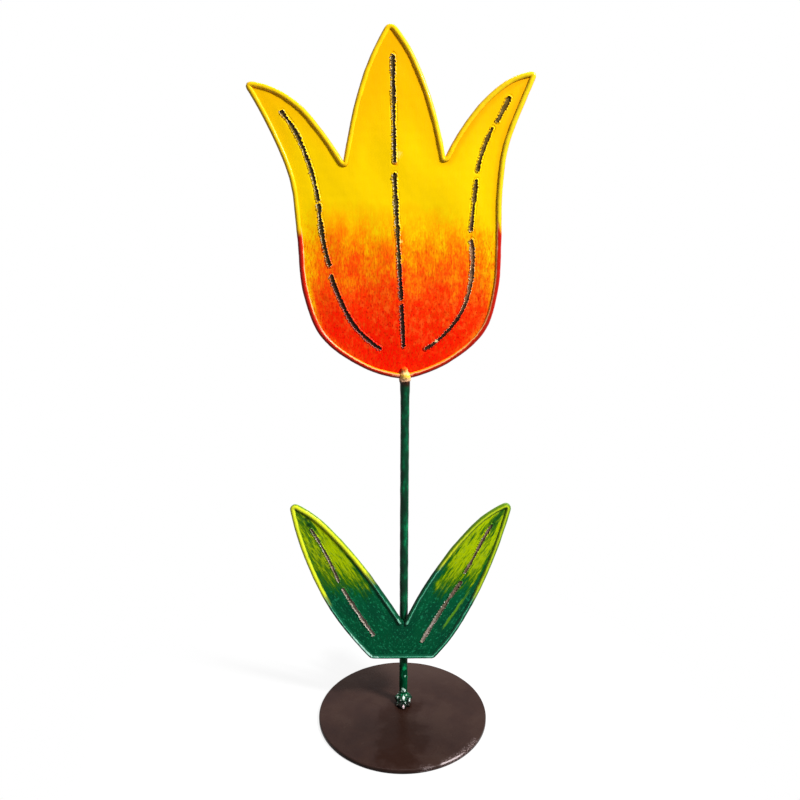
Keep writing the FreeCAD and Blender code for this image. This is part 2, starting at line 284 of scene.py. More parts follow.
def joined_line(runs, closed):
    """One line through all the runs.

    From a run's end to the next run's start goes the cubic that leaves and arrives along the runs, as
    strong as their gap, or a straight line where the gap is wide, as under the leaves. Then each point
    becomes the mean of its neighbours, weighted by a bell curve."""
    pieces = []
    t = np.linspace(0, 1, BOW_STEPS + 1)[1:-1, None]
    for number, run in enumerate(runs):
        pieces.append(run)
        after = runs[(number + 1) % len(runs)]
        gap = np.linalg.norm(after[0] - run[-1])
        if (closed or number + 1 < len(runs)) and gap < WIDEST_BEND:
            leave = (run[-1] - run[-3]) / np.linalg.norm(run[-1] - run[-3]) * gap
            arrive = (after[2] - after[0]) / np.linalg.norm(after[2] - after[0]) * gap
            pieces.append(cubic_between(run[-1], after[0], leave, arrive, t))
    if closed:
        pieces.append(runs[0][:1])
    line = even_line(np.vstack(pieces), BLUR_STEP)
    reach = np.arange(-BLUR_REACH, BLUR_REACH + 1)
    weight = np.exp(-0.5 * (reach * BLUR_STEP / BLUR) ** 2)
    core = line[:-1] if closed else line
    padded = np.pad(core, ((BLUR_REACH, BLUR_REACH), (0, 0)), mode="wrap" if closed else "edge")
    parts = [w * padded[BLUR_REACH + k:BLUR_REACH + k + len(core)] for k, w in zip(reach, weight)]
    smooth = sum(parts) / weight.sum()
    if not closed:
        smooth[[0, -1]] = line[[0, -1]]
    return even_line(np.vstack([smooth, smooth[:1]]) if closed else smooth, WIRE_STEP)


flower_line, leaf_line = joined_line(flower_runs, True), joined_line(leaf_runs, False)
print("points along the flower's wire", len(flower_line), "and along the leaves'", len(leaf_line))

# %% [markdown]
# ## Rim wires
# A tube along the bent line is one wire. Brush paint makes it a little uneven, so its surface goes in and
# out by a few hundredths of a millimetre. The leaves' wire stops at the notch, so its ends are rounded
# off, and the flower's runs into itself.

# %% Rim wires
WIRE_SIDES = 24
WIRE_LUMP = 0.03 * MM
DOME = np.radians([86, 72, 57, 42, 27, 13])[:, None]


def with_ends(rows, count):
    """The rows, with the first and the last repeated count times more."""
    return np.vstack([np.repeat(rows[:1], count, 0), rows, np.repeat(rows[-1:], count, 0)])


def wire_shell(line, radius, seed, closed):
    """A tube along a flat line, closed on itself or with round ends.

    Ring by ring: middle + radius x (cos a x outward + sin a x Y). The outward way is the tangent turned
    right by a quarter. Each loose end has rings on a half ball. outer is cos a."""
    middle = line[:-1] if closed else line
    if closed:
        tangent = np.roll(middle, -1, axis=0) - np.roll(middle, 1, axis=0)
    else:
        tangent = np.gradient(line, axis=0)
    tangent /= np.linalg.norm(tangent, axis=1)[:, None]
    size = np.ones(len(middle))
    if not closed:
        middle = np.vstack([line[0] - tangent[0] * np.sin(DOME) * radius, line,
                            line[-1] + tangent[-1] * np.sin(DOME[::-1]) * radius])
        tangent = with_ends(tangent, len(DOME))
        size = np.concatenate([np.cos(DOME[:, 0]), size, np.cos(DOME[::-1, 0])])
    outward = np.stack([tangent[:, 1], 0 * size, -tangent[:, 0]], -1)
    angle = angles_round(WIRE_SIDES)
    turn = angle[..., None]
    centre = np.stack([middle[:, 0], 0 * size, middle[:, 1]], -1)[:, None]
    spoke = np.cos(turn) * outward[:, None] + np.sin(turn) * np.array([0, 1, 0])
    skin = centre + spoke * (size * radius)[:, None, None]
    paint = wander(skin, 7 * MM, seed) + 0.5 * wander(skin, 2.2 * MM, seed + 1)
    rings = skin + spoke * (paint * WIRE_LUMP * size[:, None])[..., None]
    shell = ring_shell(rings, outer=np.cos(angle))
    if closed:
        quads = shell["faces"][0]
        first = np.arange(WIRE_SIDES)
        after = np.roll(first, -1)
        seam = np.column_stack([first + len(quads), after + len(quads), after, first])
        as_built = (quads[0] == band(2, WIRE_SIDES)[0]).all()
        shell["faces"] = [quads, seam if as_built else seam[:, ::-1]]
    return shell


flower_rim = make_piece("flower_rim", [wire_shell(flower_line, WIRE_RADIUS, 100, True)],
                        ("flower_rim_wire",), on_flower)
leaf_rim = make_piece("leaf_rim", [wire_shell(leaf_line, WIRE_RADIUS, 200, False)],
                      ("leaf_rim_wire",), on_leaves)

# %% [markdown]
# ## Veins
# The petals and leaves are cut through along their veins, in short slots with a bridge of steel between
# them. Each slot is a smooth line and a half width, because the sheet below makes room for it and the
# burnt cut is laid along it.

# %% Veins
VEIN_STEP = 0.25 * MM
FLOWER_VEINS_SHARES = (
    ((-0.001, 0.926), (-0.009, 0.634)),
    ((-0.011, 0.600), (-0.007, 0.397), (-0.003, 0.237)),
    ((-0.003, 0.219), (-0.001, 0.090)),
    ((-0.404, 0.786), (-0.363, 0.736), (-0.326, 0.663), (-0.292, 0.534)),
    ((-0.290, 0.521), (-0.284, 0.437), (-0.264, 0.343)),
    ((-0.260, 0.314), (-0.229, 0.238), (-0.185, 0.164), (-0.089, 0.087)),
    ((0.407, 0.799), (0.362, 0.735)),
    ((0.345, 0.718), (0.311, 0.660), (0.289, 0.600)),
    ((0.284, 0.574), (0.261, 0.431)),
    ((0.262, 0.402), (0.265, 0.333), (0.251, 0.256), (0.225, 0.197), (0.174, 0.140), (0.078, 0.080)),
)
LEAF_VEINS_SHARES = (
    ((-0.432, 0.850), (-0.391, 0.757), (-0.306, 0.507)),
    ((-0.288, 0.460), (-0.256, 0.387), (-0.143, 0.149)),
    ((0.411, 0.880), (0.370, 0.782), (0.310, 0.619), (0.287, 0.565)),
    ((0.272, 0.508), (0.234, 0.432), (0.087, 0.103)),
)
FLOWER_CUT_HALF = np.array([1.12, 1.12, 1.12, 1.1, 1.2, 1.1, 1.1, 1.1, 1.15, 1.22]) * MM
LEAF_CUT_HALF = np.array([0.75, 0.98, 0.75, 0.98]) * MM
flower_veins = [smooth_line(vein, FLOWER_SIZE, VEIN_STEP) for vein in FLOWER_VEINS_SHARES]
leaf_veins = [smooth_line(vein, LEAF_SIZE, VEIN_STEP) for vein in LEAF_VEINS_SHARES]
print("slots in the flower", len(flower_veins), "and in the leaves", len(leaf_veins))

# %% [markdown]
# ## Near and inside
# Two questions come up for every spot of a sheet: how far it is from a line, and whether it lies in the
# outline. Both are answered for a whole grid at once.

# %% Near and inside
def distance_to(points, line):
    """The distance from each flat point to the nearest point of a line."""
    gaps = points[:, None].astype(np.float32) - line[None].astype(np.float32)
    return np.sqrt((gaps ** 2).sum(-1).min(1))


def inside(across, up, outline):
    """Which spots of a grid lie in a closed outline: a row crosses it an odd number of times beyond them."""
    start, end = outline, np.roll(outline, -1, axis=0)
    level = up[:, None]
    meets = (start[:, 1] > level) != (end[:, 1] > level)
    slope = (end[:, 0] - start[:, 0]) / np.where(start[:, 1] == end[:, 1], 1, end[:, 1] - start[:, 1])
    crossing = np.where(meets, start[:, 0] + (level - start[:, 1]) * slope, -1)
    return (crossing[:, None, :] > across[None, :, None]).sum(-1) % 2 == 1


print("from the middle of the flower's base to its wire", distance_to(np.zeros((1, 2)), flower_line)[0])

# %% [markdown]
# ## Sheets
# The flower and the leaves are flat sheet that fills its wire. A face with one big outline would shade
# flat and could not carry the soft waves of hand-cut sheet, so the sheet is a fine grid of small squares,
# kept where their middles lie inside the wire's line. The stepped edge that this leaves is hidden inside
# the wire. Under each vein the grid is pressed in to make room for the burnt cut.

# %% Sheets
SHEET_CELL, OUTLINE_STEP = 0.62 * MM, 1.2 * MM
TRENCH_SPARE, TRENCH_HALF = 0.22 * MM, 0.1 * MM
SHEET_WAVE, COAT, COAT_WAVE = 0.14 * MM, 0.03 * MM, 0.012 * MM
FLOWER_BEND_SEED, LEAF_BEND_SEED = 300, 310


def sheet_bend(spots, to_rim, seed):
    """How far the sheet bulges to the back: a slow random wave that dies out towards the wire."""
    return SHEET_WAVE * wander(spots, 45 * MM, seed) * ease(2 * MM, 12 * MM, to_rim)


def sheet_shell(runs, veins, cut_half, seed):
    """Sheet inside the runs as one closed shell: a front grid, a back grid and walls at their edges.

    Half its thickness is the steel's, plus a thin coat of paint, and near a vein only the trench's.
    Both faces follow the sheet's bend. rim is the distance to the wire's middle."""
    outline = even_line(np.vstack(runs + [runs[0][:1]]), OUTLINE_STEP)[:-1]
    low, high = outline.min(0), outline.max(0)
    across = np.arange(low[0], high[0] + SHEET_CELL, SHEET_CELL)
    up = np.arange(low[1], high[1] + SHEET_CELL, SHEET_CELL)
    kept = inside(across[:-1] + 0.5 * SHEET_CELL, up[:-1] + 0.5 * SHEET_CELL, outline)
    quads = band(len(up), len(across), around=False)[kept.reshape(-1)]
    used, quads = np.unique(quads, return_inverse=True)
    quads = quads.reshape(-1, 4)
    spots = np.column_stack([across[used % len(across)], up[used // len(across)]])
    to_cut = np.min([distance_to(spots, vein) - half for vein, half in zip(veins, cut_half)], axis=0)
    to_rim = np.concatenate([distance_to(part, outline) for part in np.array_split(spots, 8)])
    bend = sheet_bend(spots, to_rim, seed)
    coat = COAT + COAT_WAVE * wander(spots, 6 * MM, seed + 1)
    half = np.where(to_cut < TRENCH_SPARE, TRENCH_HALF, SHEET_HALF + coat)
    front, back = (np.stack([spots[:, 0], bend + face * half, spots[:, 1]], -1) for face in (-1, 1))
    sides = np.concatenate([quads[:, [k, (k + 1) % 4]] for k in range(4)])
    key = sides.min(1) * len(used) + sides.max(1)
    _, first, count = np.unique(key, return_index=True, return_counts=True)
    edge = sides[first[count == 1]]
    walls = np.column_stack([edge[:, ::-1], edge + len(used)])
    return {"points": np.vstack([front, back]), "faces": [quads, quads[:, ::-1] + len(used), walls],
            "values": {"rim": np.tile(to_rim, 2)}}


flower_sheet = make_piece(
    "flower_petals", [sheet_shell(flower_runs, flower_veins, FLOWER_CUT_HALF, FLOWER_BEND_SEED)],
    ("flower_sheet",), on_flower)
leaf_sheet = make_piece(
    "leaf_blades", [sheet_shell(leaf_runs, leaf_veins, LEAF_CUT_HALF, LEAF_BEND_SEED)],
    ("leaf_sheet",), on_leaves)

# %% [markdown]
# ## How wide a cut is
# The veins were cut with a torch by hand, so a slot is not as wide all along. It swells and shrinks
# slowly, many slots have one narrow neck, and most run out thinner at their lower end. All of this is one
# share of the full width for each point of the slot.

# %% How wide a cut is
WIDTH_WAVE, WIDTH_LIMITS, LEAST_WIDTH = 0.10, (0.86, 1.12), 0.55
NECK_DEPTH, NECK_LENGTH = 0.36, 2.2 * MM
TAPER_START, TAPER_FROM, TAPER_TO = 0.35, 0.25, 0.60


def cut_width(run, neck, taper, seed):
    """The share of its width that a cut has at each distance along it.

    A slow wave near 1, less a bell curve at the neck's share of the length, less the taper: a third of it
    from the start, and all of it beyond the middle."""
    share = run / run[-1]
    width = np.clip(1 + WIDTH_WAVE * wander(run[:, None], 13 * MM, seed), *WIDTH_LIMITS)
    width = width * (1 - NECK_DEPTH * np.exp(-((run - neck * run[-1]) / NECK_LENGTH) ** 2))
    thinner = TAPER_START + (1 - TAPER_START) * ease(TAPER_FROM, TAPER_TO, share)
    return np.maximum(width * (1 - taper * thinner), LEAST_WIDTH)


print("a cut is from", LEAST_WIDTH, "to", WIDTH_LIMITS[1], "of its full width")

# %% [markdown]
# ## Vein cuts
# The torch leaves a dark groove between two ragged lips of melted steel. A bump map would stay flat from
# the side, so each cut is a strip: its profile climbs from the sheet over a lip, drops down the inner
# wall to the burnt floor, and climbs out the same way. Random waves along the cut move the lips in and
# out and up and down. Both faces of the sheet have the same cuts.

# %% Vein cuts
LIP_HALF = np.array([
    (-2.10, 0.52, 0.00, 0.0), (-1.80, 0.66, 0.15, 0.0), (-1.52, 0.66, 0.70, 0.1), (-1.30, 0.66, 1.00, 0.45),
    (-1.12, 0.60, 0.60, 0.9), (-1.00, 0.42, 0.00, 1.0), (-0.80, 0.22, 0.00, 1.0), (-0.40, 0.16, 0.00, 1.0),
])
PROFILE = np.vstack([LIP_HALF, (0, 0.15, 0, 1), LIP_HALF[::-1] * (-1, 1, 1, 1),
                     (1.5, 0.04, 0, 0), (0, 0.04, 0, 0), (-1.5, 0.04, 0, 0)])
PROFILE_HALF, LIP_OUTSIDE = 1.15, 1.3
QUARTER = np.radians([89, 75, 60, 45, 30, 15])
LIP_HEIGHT, LIP_WAVE, LIP_LIMITS = 0.24, 0.13, (0.04, 0.5)
CUT_SPARE_POINTS = 2


def vein_shell(line, half_width, neck, rough, taper, face, outline, bend_seed, seed):
    """A burnt cut along a flat line, on the front (face -1) or the back (face 1). rough says how far its
    lips wander.

    Each ring is the profile, set across the line: distance from the line, height over the sheet's middle,
    share of the lip's height, and how burnt. At the ends the profile turns a quarter each way about the
    line's last point, so that the lips run round the end of the cut."""
    way = np.gradient(line, axis=0)
    way /= np.linalg.norm(way, axis=1)[:, None]
    middle, way = with_ends(line, len(QUARTER)), with_ends(way, len(QUARTER))
    turn = np.concatenate([-QUARTER, np.zeros(len(line)), QUARTER[::-1]])[:, None]
    run = np.arange(len(middle))[:, None] * VEIN_STEP
    reach, level, lip, burnt = PROFILE.T[:, None]
    ragged = [rough * (0.22 * wander(run, 1.6 * MM, seed + k) + 0.12 * wander(run, 5 * MM, seed + k + 1))
              for k in (0, 2)]
    tall = [wander(run, 1.4 * MM, seed + k) for k in (4, 5)]
    width = cut_width(run[:, 0], neck, taper, seed + 6)[:, None]
    on_lip = (np.abs(reach) > 0.7) & (np.abs(reach) < 1.6) & (level > 0.1)
    right_side = reach > 0
    shake = on_lip * np.where(right_side, ragged[0][:, None], -ragged[1][:, None])
    inner = np.clip(reach, -LIP_OUTSIDE, LIP_OUTSIDE)
    across = (inner + shake) * half_width / PROFILE_HALF * width + (reach - inner) * MM
    lip_wave = LIP_WAVE * np.where(right_side, tall[0][:, None], tall[1][:, None])
    height = level + lip * np.clip(LIP_HEIGHT + lip_wave, *LIP_LIMITS)
    right = np.stack([way[:, 1], -way[:, 0]], -1)[:, None]
    flat = (middle[:, None] + right * (across * np.cos(turn))[..., None]
            + way[:, None] * (np.abs(across) * np.sin(turn))[..., None])
    to_rim = distance_to(flat.reshape(-1, 2), outline).reshape(across.shape)
    depth = face * height * MM + sheet_bend(flat, to_rim, bend_seed)
    rings = np.stack([flat[..., 0], depth, flat[..., 1]], -1)
    # lip also sets how much painted highlight a lip gets, a little more on the side where reach is positive.
    return ring_shell(rings, burnt=burnt, rim=to_rim, lip=lip * np.where(right_side, 1.0, 0.88))


print("points across a cut", len(PROFILE))

# %% [markdown]
# ## All the cuts
# Each slot has its own neck, roughness and taper, as the torch went. The neck is a share of the slot's
# length, and -1 means that it has none. The lips are calmest on the flower's right.

# %% All the cuts
FLOWER_CUTS = ((0.62, 1, 0.18), (0.57, 1, 0.12), (-1, 1, 0.14), (0.13, 1, 0.20), (0.22, 1.1, 0.14),
               (-1, 0.8, 0.10), (-1, 0.55, 0.02), (0.12, 0.6, 0.16), (0.5, 0.7, 0.20), (0.87, 0.8, 0.34))
LEAF_CUTS = ((0.35, 0.9, 0), (-1, 0.8, 0), (0.7, 0.7, 0), (0.3, 0.5, 0))


def vein_shells(veins, cut_half, cuts, runs, bend_seed, seed):
    """Every cut of a sheet, on both faces. cuts has a neck, a roughness and a taper for each."""
    outline = np.vstack(runs)[::3]
    return [vein_shell(vein[CUT_SPARE_POINTS:-CUT_SPARE_POINTS], half, *cut, face, outline, bend_seed,
                       seed + 10 * number)
            for face in (-1, 1) for number, (vein, half, cut) in enumerate(zip(veins, cut_half, cuts))]


flower_cuts = make_piece("flower_vein_cuts", vein_shells(
    flower_veins, FLOWER_CUT_HALF, FLOWER_CUTS, flower_runs, FLOWER_BEND_SEED, 400),
    place=on_flower)
leaf_cuts = make_piece("leaf_vein_cuts", vein_shells(
    leaf_veins, LEAF_CUT_HALF, LEAF_CUTS, leaf_runs, LEAF_BEND_SEED, 500), place=on_leaves)

# %% [markdown]
# ## Stem
# The stem is a straight round rod under several coats of paint, thickest near the flower, where the
# brush stopped. A plain cylinder would look turned, so rings of points are stacked along the leaning
# middle line, with a slow random wave in their radius.

# %% Stem
STEM_FOOT, STEM_TOP = 2.0 * MM, 208.2 * MM
STEM_RINGS, STEM_SIDES = 260, 40


def rod_rings(heights, radii):
    """Rings about the rod's middle line, one for each height. radii is an array of heights by sides."""
    turn = angles_round(radii.shape[1])
    spoke = np.stack([np.cos(turn), np.sin(turn), 0 * turn], -1)
    return rod_point(heights)[:, None] + spoke * radii[..., None]


def skin_spots(heights, sides, radius):
    """Points of a plain cylinder at each height and side, to read a random wave from."""
    height, turn = np.broadcast_arrays(heights[:, None], angles_round(sides))
    return np.stack([radius * np.cos(turn), radius * np.sin(turn), height], -1)


stem_heights = np.linspace(STEM_FOOT, STEM_TOP, STEM_RINGS)
spots = skin_spots(stem_heights, STEM_SIDES, ROD_RADIUS)
brushed = 0.03 * MM * wander(spots * (1, 1, 0.35), 3 * MM, 600)
coat = 0.15 * MM + brushed + 0.02 * MM * wander(spots, 9 * MM, 601)
build_up = 0.28 * MM * ease(190 * MM, 204 * MM, stem_heights)[:, None]
stem = make_piece("stem_bar", [ring_shell(rod_rings(stem_heights, ROD_RADIUS + coat + build_up))],
                  ("stem_rod",))

# %% [markdown]
# ## Weld beads round the rod
# A weld is melted metal that froze as overlapping lumps. Seen from the rod's middle line each lump is a
# ball that pushes the surface outwards, so the radius at a height and side is a soft maximum over the
# balls and a tapered collar. That keeps one closed surface, with soft valleys between the lumps.

# %% Weld beads round the rod
VALLEY = 0.28 * MM


def bead_radius(heights, sides, balls, collar):
    """How far the weld reaches from the rod's middle line, at each height and side.

    A ball at (side angle, offset, height, radius) is reached at offset x cos t + root(r^2 - (offset x
    sin t)^2), where t is the angle to it and r its radius at that height. The largest value wins
    softly: logarithm of the sum of exponentials."""
    turn = angles_round(sides)
    height = heights[:, None]
    total = np.exp(collar(heights)[:, None] / VALLEY) + 0 * turn
    for angle, offset, level, radius in balls:
        t = turn - math.radians(angle)
        slice_square = radius ** 2 - (height - level) ** 2
        room = slice_square - (offset * np.sin(t)) ** 2
        reach = offset * np.cos(t) + np.sqrt(np.clip(room, 0, None))
        total = total + np.exp(np.clip(np.where(room > 0, reach, 0), 0, None) / VALLEY)
    return VALLEY * np.log(total)


print("a collar alone reaches", bead_radius(np.zeros(1), 4, (), lambda heights: heights + ROD_RADIUS)[0, 0])

# %% [markdown]
# ## Foot bead
# Round the stem's foot six lumps sit in a ring on a low skirt, and three more run out over the disc in
# front. A ball is its angle round the rod, how far out it lies, its height over the disc and its radius.

# %% Foot bead
FOOT_RINGS, FOOT_SIDES = 64, 96
FOOT_BALLS = ((5, 2.9, 3.4, 2.3), (95, 2.9, 3.2, 2.4), (182, 2.9, 3.0, 2.4), (272, 2.9, 4.0, 2.3),
              (318, 2.9, 2.4, 2.2), (226, 2.9, 3.3, 2.0),
              (268, 5.5, 1.0, 2.3), (234, 4.6, 0.7, 1.6), (306, 4.7, 0.8, 1.6))
foot_balls = [(angle, out * MM, DISC_THICKNESS + level * MM, radius * MM)
              for angle, out, level, radius in FOOT_BALLS]
foot_heights = DISC_THICKNESS + np.linspace(-0.4, 7.4, FOOT_RINGS) * MM


def foot_collar(heights):
    """The skirt's radius: 4.4 mm at the disc, 2.8 at its top, then drawn in to the rod."""
    share = np.clip((heights - DISC_THICKNESS) / (7 * MM), 0, 1)
    skirt = (4.4 - 1.6 * share) * MM
    return skirt - 0.6 * MM * ease(9.0 * MM, 9.9 * MM, heights)


foot_radii = bead_radius(foot_heights, FOOT_SIDES, foot_balls, foot_collar)
spots = skin_spots(foot_heights, FOOT_SIDES, 4 * MM)
foot_radii += 0.15 * MM * wander(spots, 2.6 * MM, 610) + 0.07 * MM * wander(spots, 1.1 * MM, 611)
foot_bead = make_piece("foot_bead", [ring_shell(rod_rings(foot_heights, foot_radii))],
                       ("foot_weld",))

# %% [markdown]
# ## Head bead
# At the top of the rod five lumps hold the flower's wire. Below them a thin collar of weld runs down the
# rod, and above them the bead closes to a round top.

# %% Head bead
HEAD_RINGS, HEAD_SIDES = 94, 72
HEAD_LOW, HEAD_HIGH = 199.8, 214.5
HEAD_BALLS = ((0, 0.15, 208.0, 3.15), (180, 0.45, 210.7, 2.3), (160, 0.6, 206.6, 2.8), (290, 0.6, 208.8, 2.9),
              (255, 1.1, 212.6, 1.8))
head_balls = [(angle, out * MM, level * MM, radius * MM) for angle, out, level, radius in HEAD_BALLS]
head_heights = np.linspace(HEAD_LOW, HEAD_HIGH, HEAD_RINGS) * MM


def head_collar(heights):
    """The collar's radius: close to the rod below, half a millimetre proud under the lumps, gone above."""
    proud = (0.16 + 0.40 * ease(200.5 * MM, 207 * MM, heights)) * MM
    below = 1 - ease(207 * MM, 209.5 * MM, heights)
    return (ROD_RADIUS + proud) * below - 0.3 * MM * (heights < 200.0 * MM)


head_radii = bead_radius(head_heights, HEAD_SIDES, head_balls, head_collar)
spots = skin_spots(head_heights, HEAD_SIDES, 3 * MM)
head_radii += 0.08 * MM * wander(spots, 2.2 * MM, 620) + 0.04 * MM * wander(spots, 0.9 * MM, 621)
head_radii *= np.sqrt(np.clip((214.6 * MM - head_heights) / (1.2 * MM), 0.02, 1))[:, None]
head_bead = make_piece("head_bead", [ring_shell(rod_rings(head_heights, head_radii))],
                       ("flower_stem_weld",))

# %% [markdown]
# ## Small tacks
# Tacks hold the wire to the sheet at the back. Each is a drop of metal, so it is a ball whose radius
# wavers a little, pressed into the corner between wire and sheet.

# %% Small tacks
TACK_INSET, TACK_DEPTH = 1.5 * MM, 0.55 * MM
TACK_RADII = np.array([1.3, 1.05, 1.3]) * MM
FLOWER_TACK_SHARES = ((0.05, 0.16, 0.25, 0.34, 0.57, 0.69, 0.81, 0.93), (0.31, 0.81), (0.19, 0.69),
                      (0.19, 0.69), (0.19, 0.69))
LEAF_TACK_SHARES = ((0.25, 0.55, 0.85), (0.15, 0.45, 0.75), (0.15, 0.55, 0.85), (0.15, 0.45, 0.85))


def drop_shell(middle, radii, seed, rows=14, sides=20):
    """A drop about a point: middle + radii x direction x (1 + a small random wave of the direction)."""
    tilt = np.radians(np.linspace(3, 177, rows))[:, None]
    turn = angles_round(sides)
    way = np.stack([np.sin(tilt) * np.cos(turn), np.cos(tilt) + 0 * turn, np.sin(tilt) * np.sin(turn)], -1)
    return ring_shell(middle + way * radii * (1 + 0.05 * wander(way, 1.6, seed))[..., None])


def rim_tack_shells(runs, tack_shares, seed):
    """Drops in the back corner between wire and sheet, on the wire's inner side."""
    shells = []
    for run, shares in zip(runs, tack_shares):
        for share in shares:
            number = int(share * (len(run) - 2)) + 1
            way = run[number + 1] - run[number - 1]
            inwards = np.array([-way[1], way[0]]) / np.linalg.norm(way)
            x, z = run[number] + inwards * TACK_INSET
            shells.append(drop_shell(np.array([x, TACK_DEPTH, z]), TACK_RADII, seed + len(shells)))
    return shells


flower_tacks = make_piece("flower_rim_drops", rim_tack_shells(flower_runs, FLOWER_TACK_SHARES, 630),
                          ("flower_rim_tacks",), on_flower)
leaf_tacks = make_piece("leaf_rim_drops", rim_tack_shells(leaf_runs, LEAF_TACK_SHARES, 660),
                        ("leaf_rim_tacks",), on_leaves)

# %% [markdown]
# ## Beads between leaves and stem
# In the notch the leaves' wire meets the stem in three small lumps of weld, painted over with the stem's
# green. Behind the leaves' lower edge two more, one on each side, hold the wire to the rod.

# %% Beads between leaves and stem
NOTCH_DROPS = (((0.2, 0.6, -0.4), (1.9, 1.7, 1.8)), ((-1.75, -0.7, 0.9), (1.3, 1.2, 1.5)),
               ((1.9, -0.5, 0.4), (1.25, 1.1, 1.4)))
notch_middle = rod_point(LEAF_BASE + NOTCH_SHARE * LEAF_SIZE[1]) - (0, 2.8 * MM, 0.9 * MM)
notch_drops = [drop_shell(notch_middle + np.array(aside) * MM, np.array(radii) * MM, 690 + number)
               for number, (aside, radii) in enumerate(NOTCH_DROPS)]
notch_bead = make_piece("notch_bead", notch_drops, ("leaf_notch_weld",))
back_drops = [drop_shell(rod_point(LEAF_BASE) + np.array([side * 2.7, -2.0, 0.1]) * MM,
                         np.array([1.75, 1.7, 1.9]) * MM, 694 + side) for side in (-1, 1)]
back_beads = make_piece("leaf_back_beads", back_drops, ("leaf_back_welds",))

# %% [markdown]
# ## Foot
# The foot is a steel disc under thick brushed paint, which rounds its top edge. A profile from the middle
# of the underside, round the edge and back to the middle of the top is carried round in 256 steps. The
# top has a very slight wave, because thick paint never dries flat. The profile is in millimetres.

# %% Foot
DISC_RADIUS, EDGE_RADIUS, DISC_CHAMFER, DISC_MIDDLE = 51.0, 0.8, 0.3, 0.3
DISC_SIDES, TOP_POINTS, CORNER_POINTS = 256, 64, 9
thickness = DISC_THICKNESS / MM
corner = np.radians(np.linspace(0, 90, CORNER_POINTS))
under = [(DISC_MIDDLE, 0), (18, 0), (36, 0), (DISC_RADIUS - DISC_CHAMFER, 0), (DISC_RADIUS, DISC_CHAMFER),
         (DISC_RADIUS, 1.0)]
edge = np.column_stack([DISC_RADIUS - EDGE_RADIUS * (1 - np.cos(corner)),
                        thickness - EDGE_RADIUS * (1 - np.sin(corner))])
top = np.column_stack([np.linspace(49.6, DISC_MIDDLE, TOP_POINTS), np.full(TOP_POINTS, thickness)])
profile = np.vstack([under, edge, top]) * MM
turn = angles_round(DISC_SIDES)
out, level = profile[:, :1], profile[:, 1:]
disc_rings = np.stack([out * np.cos(turn), out * np.sin(turn), level + 0 * turn], -1)
disc_rings[..., 2] += ease(2.0 * MM, DISC_THICKNESS, disc_rings[..., 2]) * (
    0.025 * MM * wander(disc_rings[..., :2], 14 * MM, 700)
    + 0.012 * MM * wander(disc_rings[..., :2], 5 * MM, 701) - 0.02 * MM)
foot_disc = make_piece("foot_disc", [ring_shell(disc_rings)], ("base_disc",))

# %% [markdown]
# ## Nodes and sums
# A finish is a small tree of nodes that reads a point's place on the object, so that a brush stroke stays
# where it is from every side. Each helper takes outputs of nodes and plain numbers and gives back an
# output, so that trees read like sums. The new node goes into the tree of the outputs that it takes.

# %% Nodes and sums
def add_node(kind, inputs=None, tree=None, **settings):
    """A node with its settings, whose inputs are values or the outputs of other nodes."""
    inputs = inputs or {}
    linked = {key: value for key, value in inputs.items() if isinstance(value, bpy.types.NodeSocket)}
    tree = tree or next(iter(linked.values())).id_data
    node = tree.nodes.new("ShaderNode" + kind)
    for key, value in settings.items():
        setattr(node, key, value)
    for key, value in inputs.items():
        if key in linked:
            tree.links.new(value, node.inputs[key])
        else:
            node.inputs[key].default_value = value
    return node


def sum_of(operation, *values):
    """The result of one sum, such as ADD or MAXIMUM."""
    return add_node("Math", dict(enumerate(values)), operation=operation).outputs[0]


def add_scaled(first, share, base):
    """One value times another, added to a third."""
    return sum_of("MULTIPLY_ADD", first, share, base)


def product(first, *others):
    """All the values multiplied."""
    for other in others:
        first = sum_of("MULTIPLY", first, other)
    return first


def shifted(value, noise, strength):
    """A value moved up and down by noise: value + (noise - 0.5) x strength."""
    return add_scaled(sum_of("SUBTRACT", noise, 0.5), strength, value)


def span(value, low, high, new_low=0.0, new_high=1.0, smooth=True):
    """A value's range turned into another, held at its ends."""
    inputs = {"Value": value, "From Min": low, "From Max": high, "To Min": new_low, "To Max": new_high}
    kind = "SMOOTHSTEP" if smooth else "LINEAR"
    return add_node("MapRange", inputs, interpolation_type=kind).outputs[0]


# %% [markdown]
# ## Reading a place
# Paint follows three things: where a point is along each axis, what the mesh knows about it, such as its
# distance to the wire, and a noise stretched the way the brush went.

# %% Reading a place
def axes_of(place):
    """The place's three distances, along X, Y and Z."""
    return tuple(add_node("SeparateXYZ", {0: place}).outputs)


def read_value(place, name):
    """An attribute of the mesh, as a number."""
    return add_node("Attribute", tree=place.id_data, attribute_name=name).outputs["Fac"]


def vector_sum(operation, *values, output=0):
    """The result of one sum of places."""
    return add_node("VectorMath", dict(enumerate(values)), operation=operation).outputs[output]


def specks(place, stretch, detail=2.0, rough=0.5):
    """Noise from 0 to 1, with stretch bumps to the metre along each axis."""
    scaled = add_node("Mapping", {"Vector": place, "Scale": stretch}).outputs[0]
    noise = add_node("TexNoise", {"Vector": scaled, "Scale": 1.0, "Detail": detail, "Roughness": rough})
    return noise.outputs[0]


print("attributes that paint reads:", sorted(flower_cuts.data.attributes.keys()))

# %% [markdown]
# ## Mixing paint
# Colours are written as they look on a screen and turned into light values. They are mixed by a share,
# picked along a value, or put on as a single dab with a frayed edge.

# %% Mixing paint
FRAY = 2.4


def screen_colour(code):
    """Light values of a screen colour: a byte's share s becomes ((s + 0.055) / 1.055) to the power 2.4."""
    share = np.array([int(code[k:k + 2], 16) / 255 for k in (0, 2, 4)])
    light = np.where(share <= 0.04045, share / 12.92, ((share + 0.055) / 1.055) ** 2.4)
    return (*light.tolist(), 1.0)


def mix(share, under, over):
    """One colour over another, by share."""
    under, over = (screen_colour(c) if isinstance(c, str) else c for c in (under, over))
    return add_node("Mix", {0: share, 6: under, 7: over}, data_type="RGBA").outputs[2]


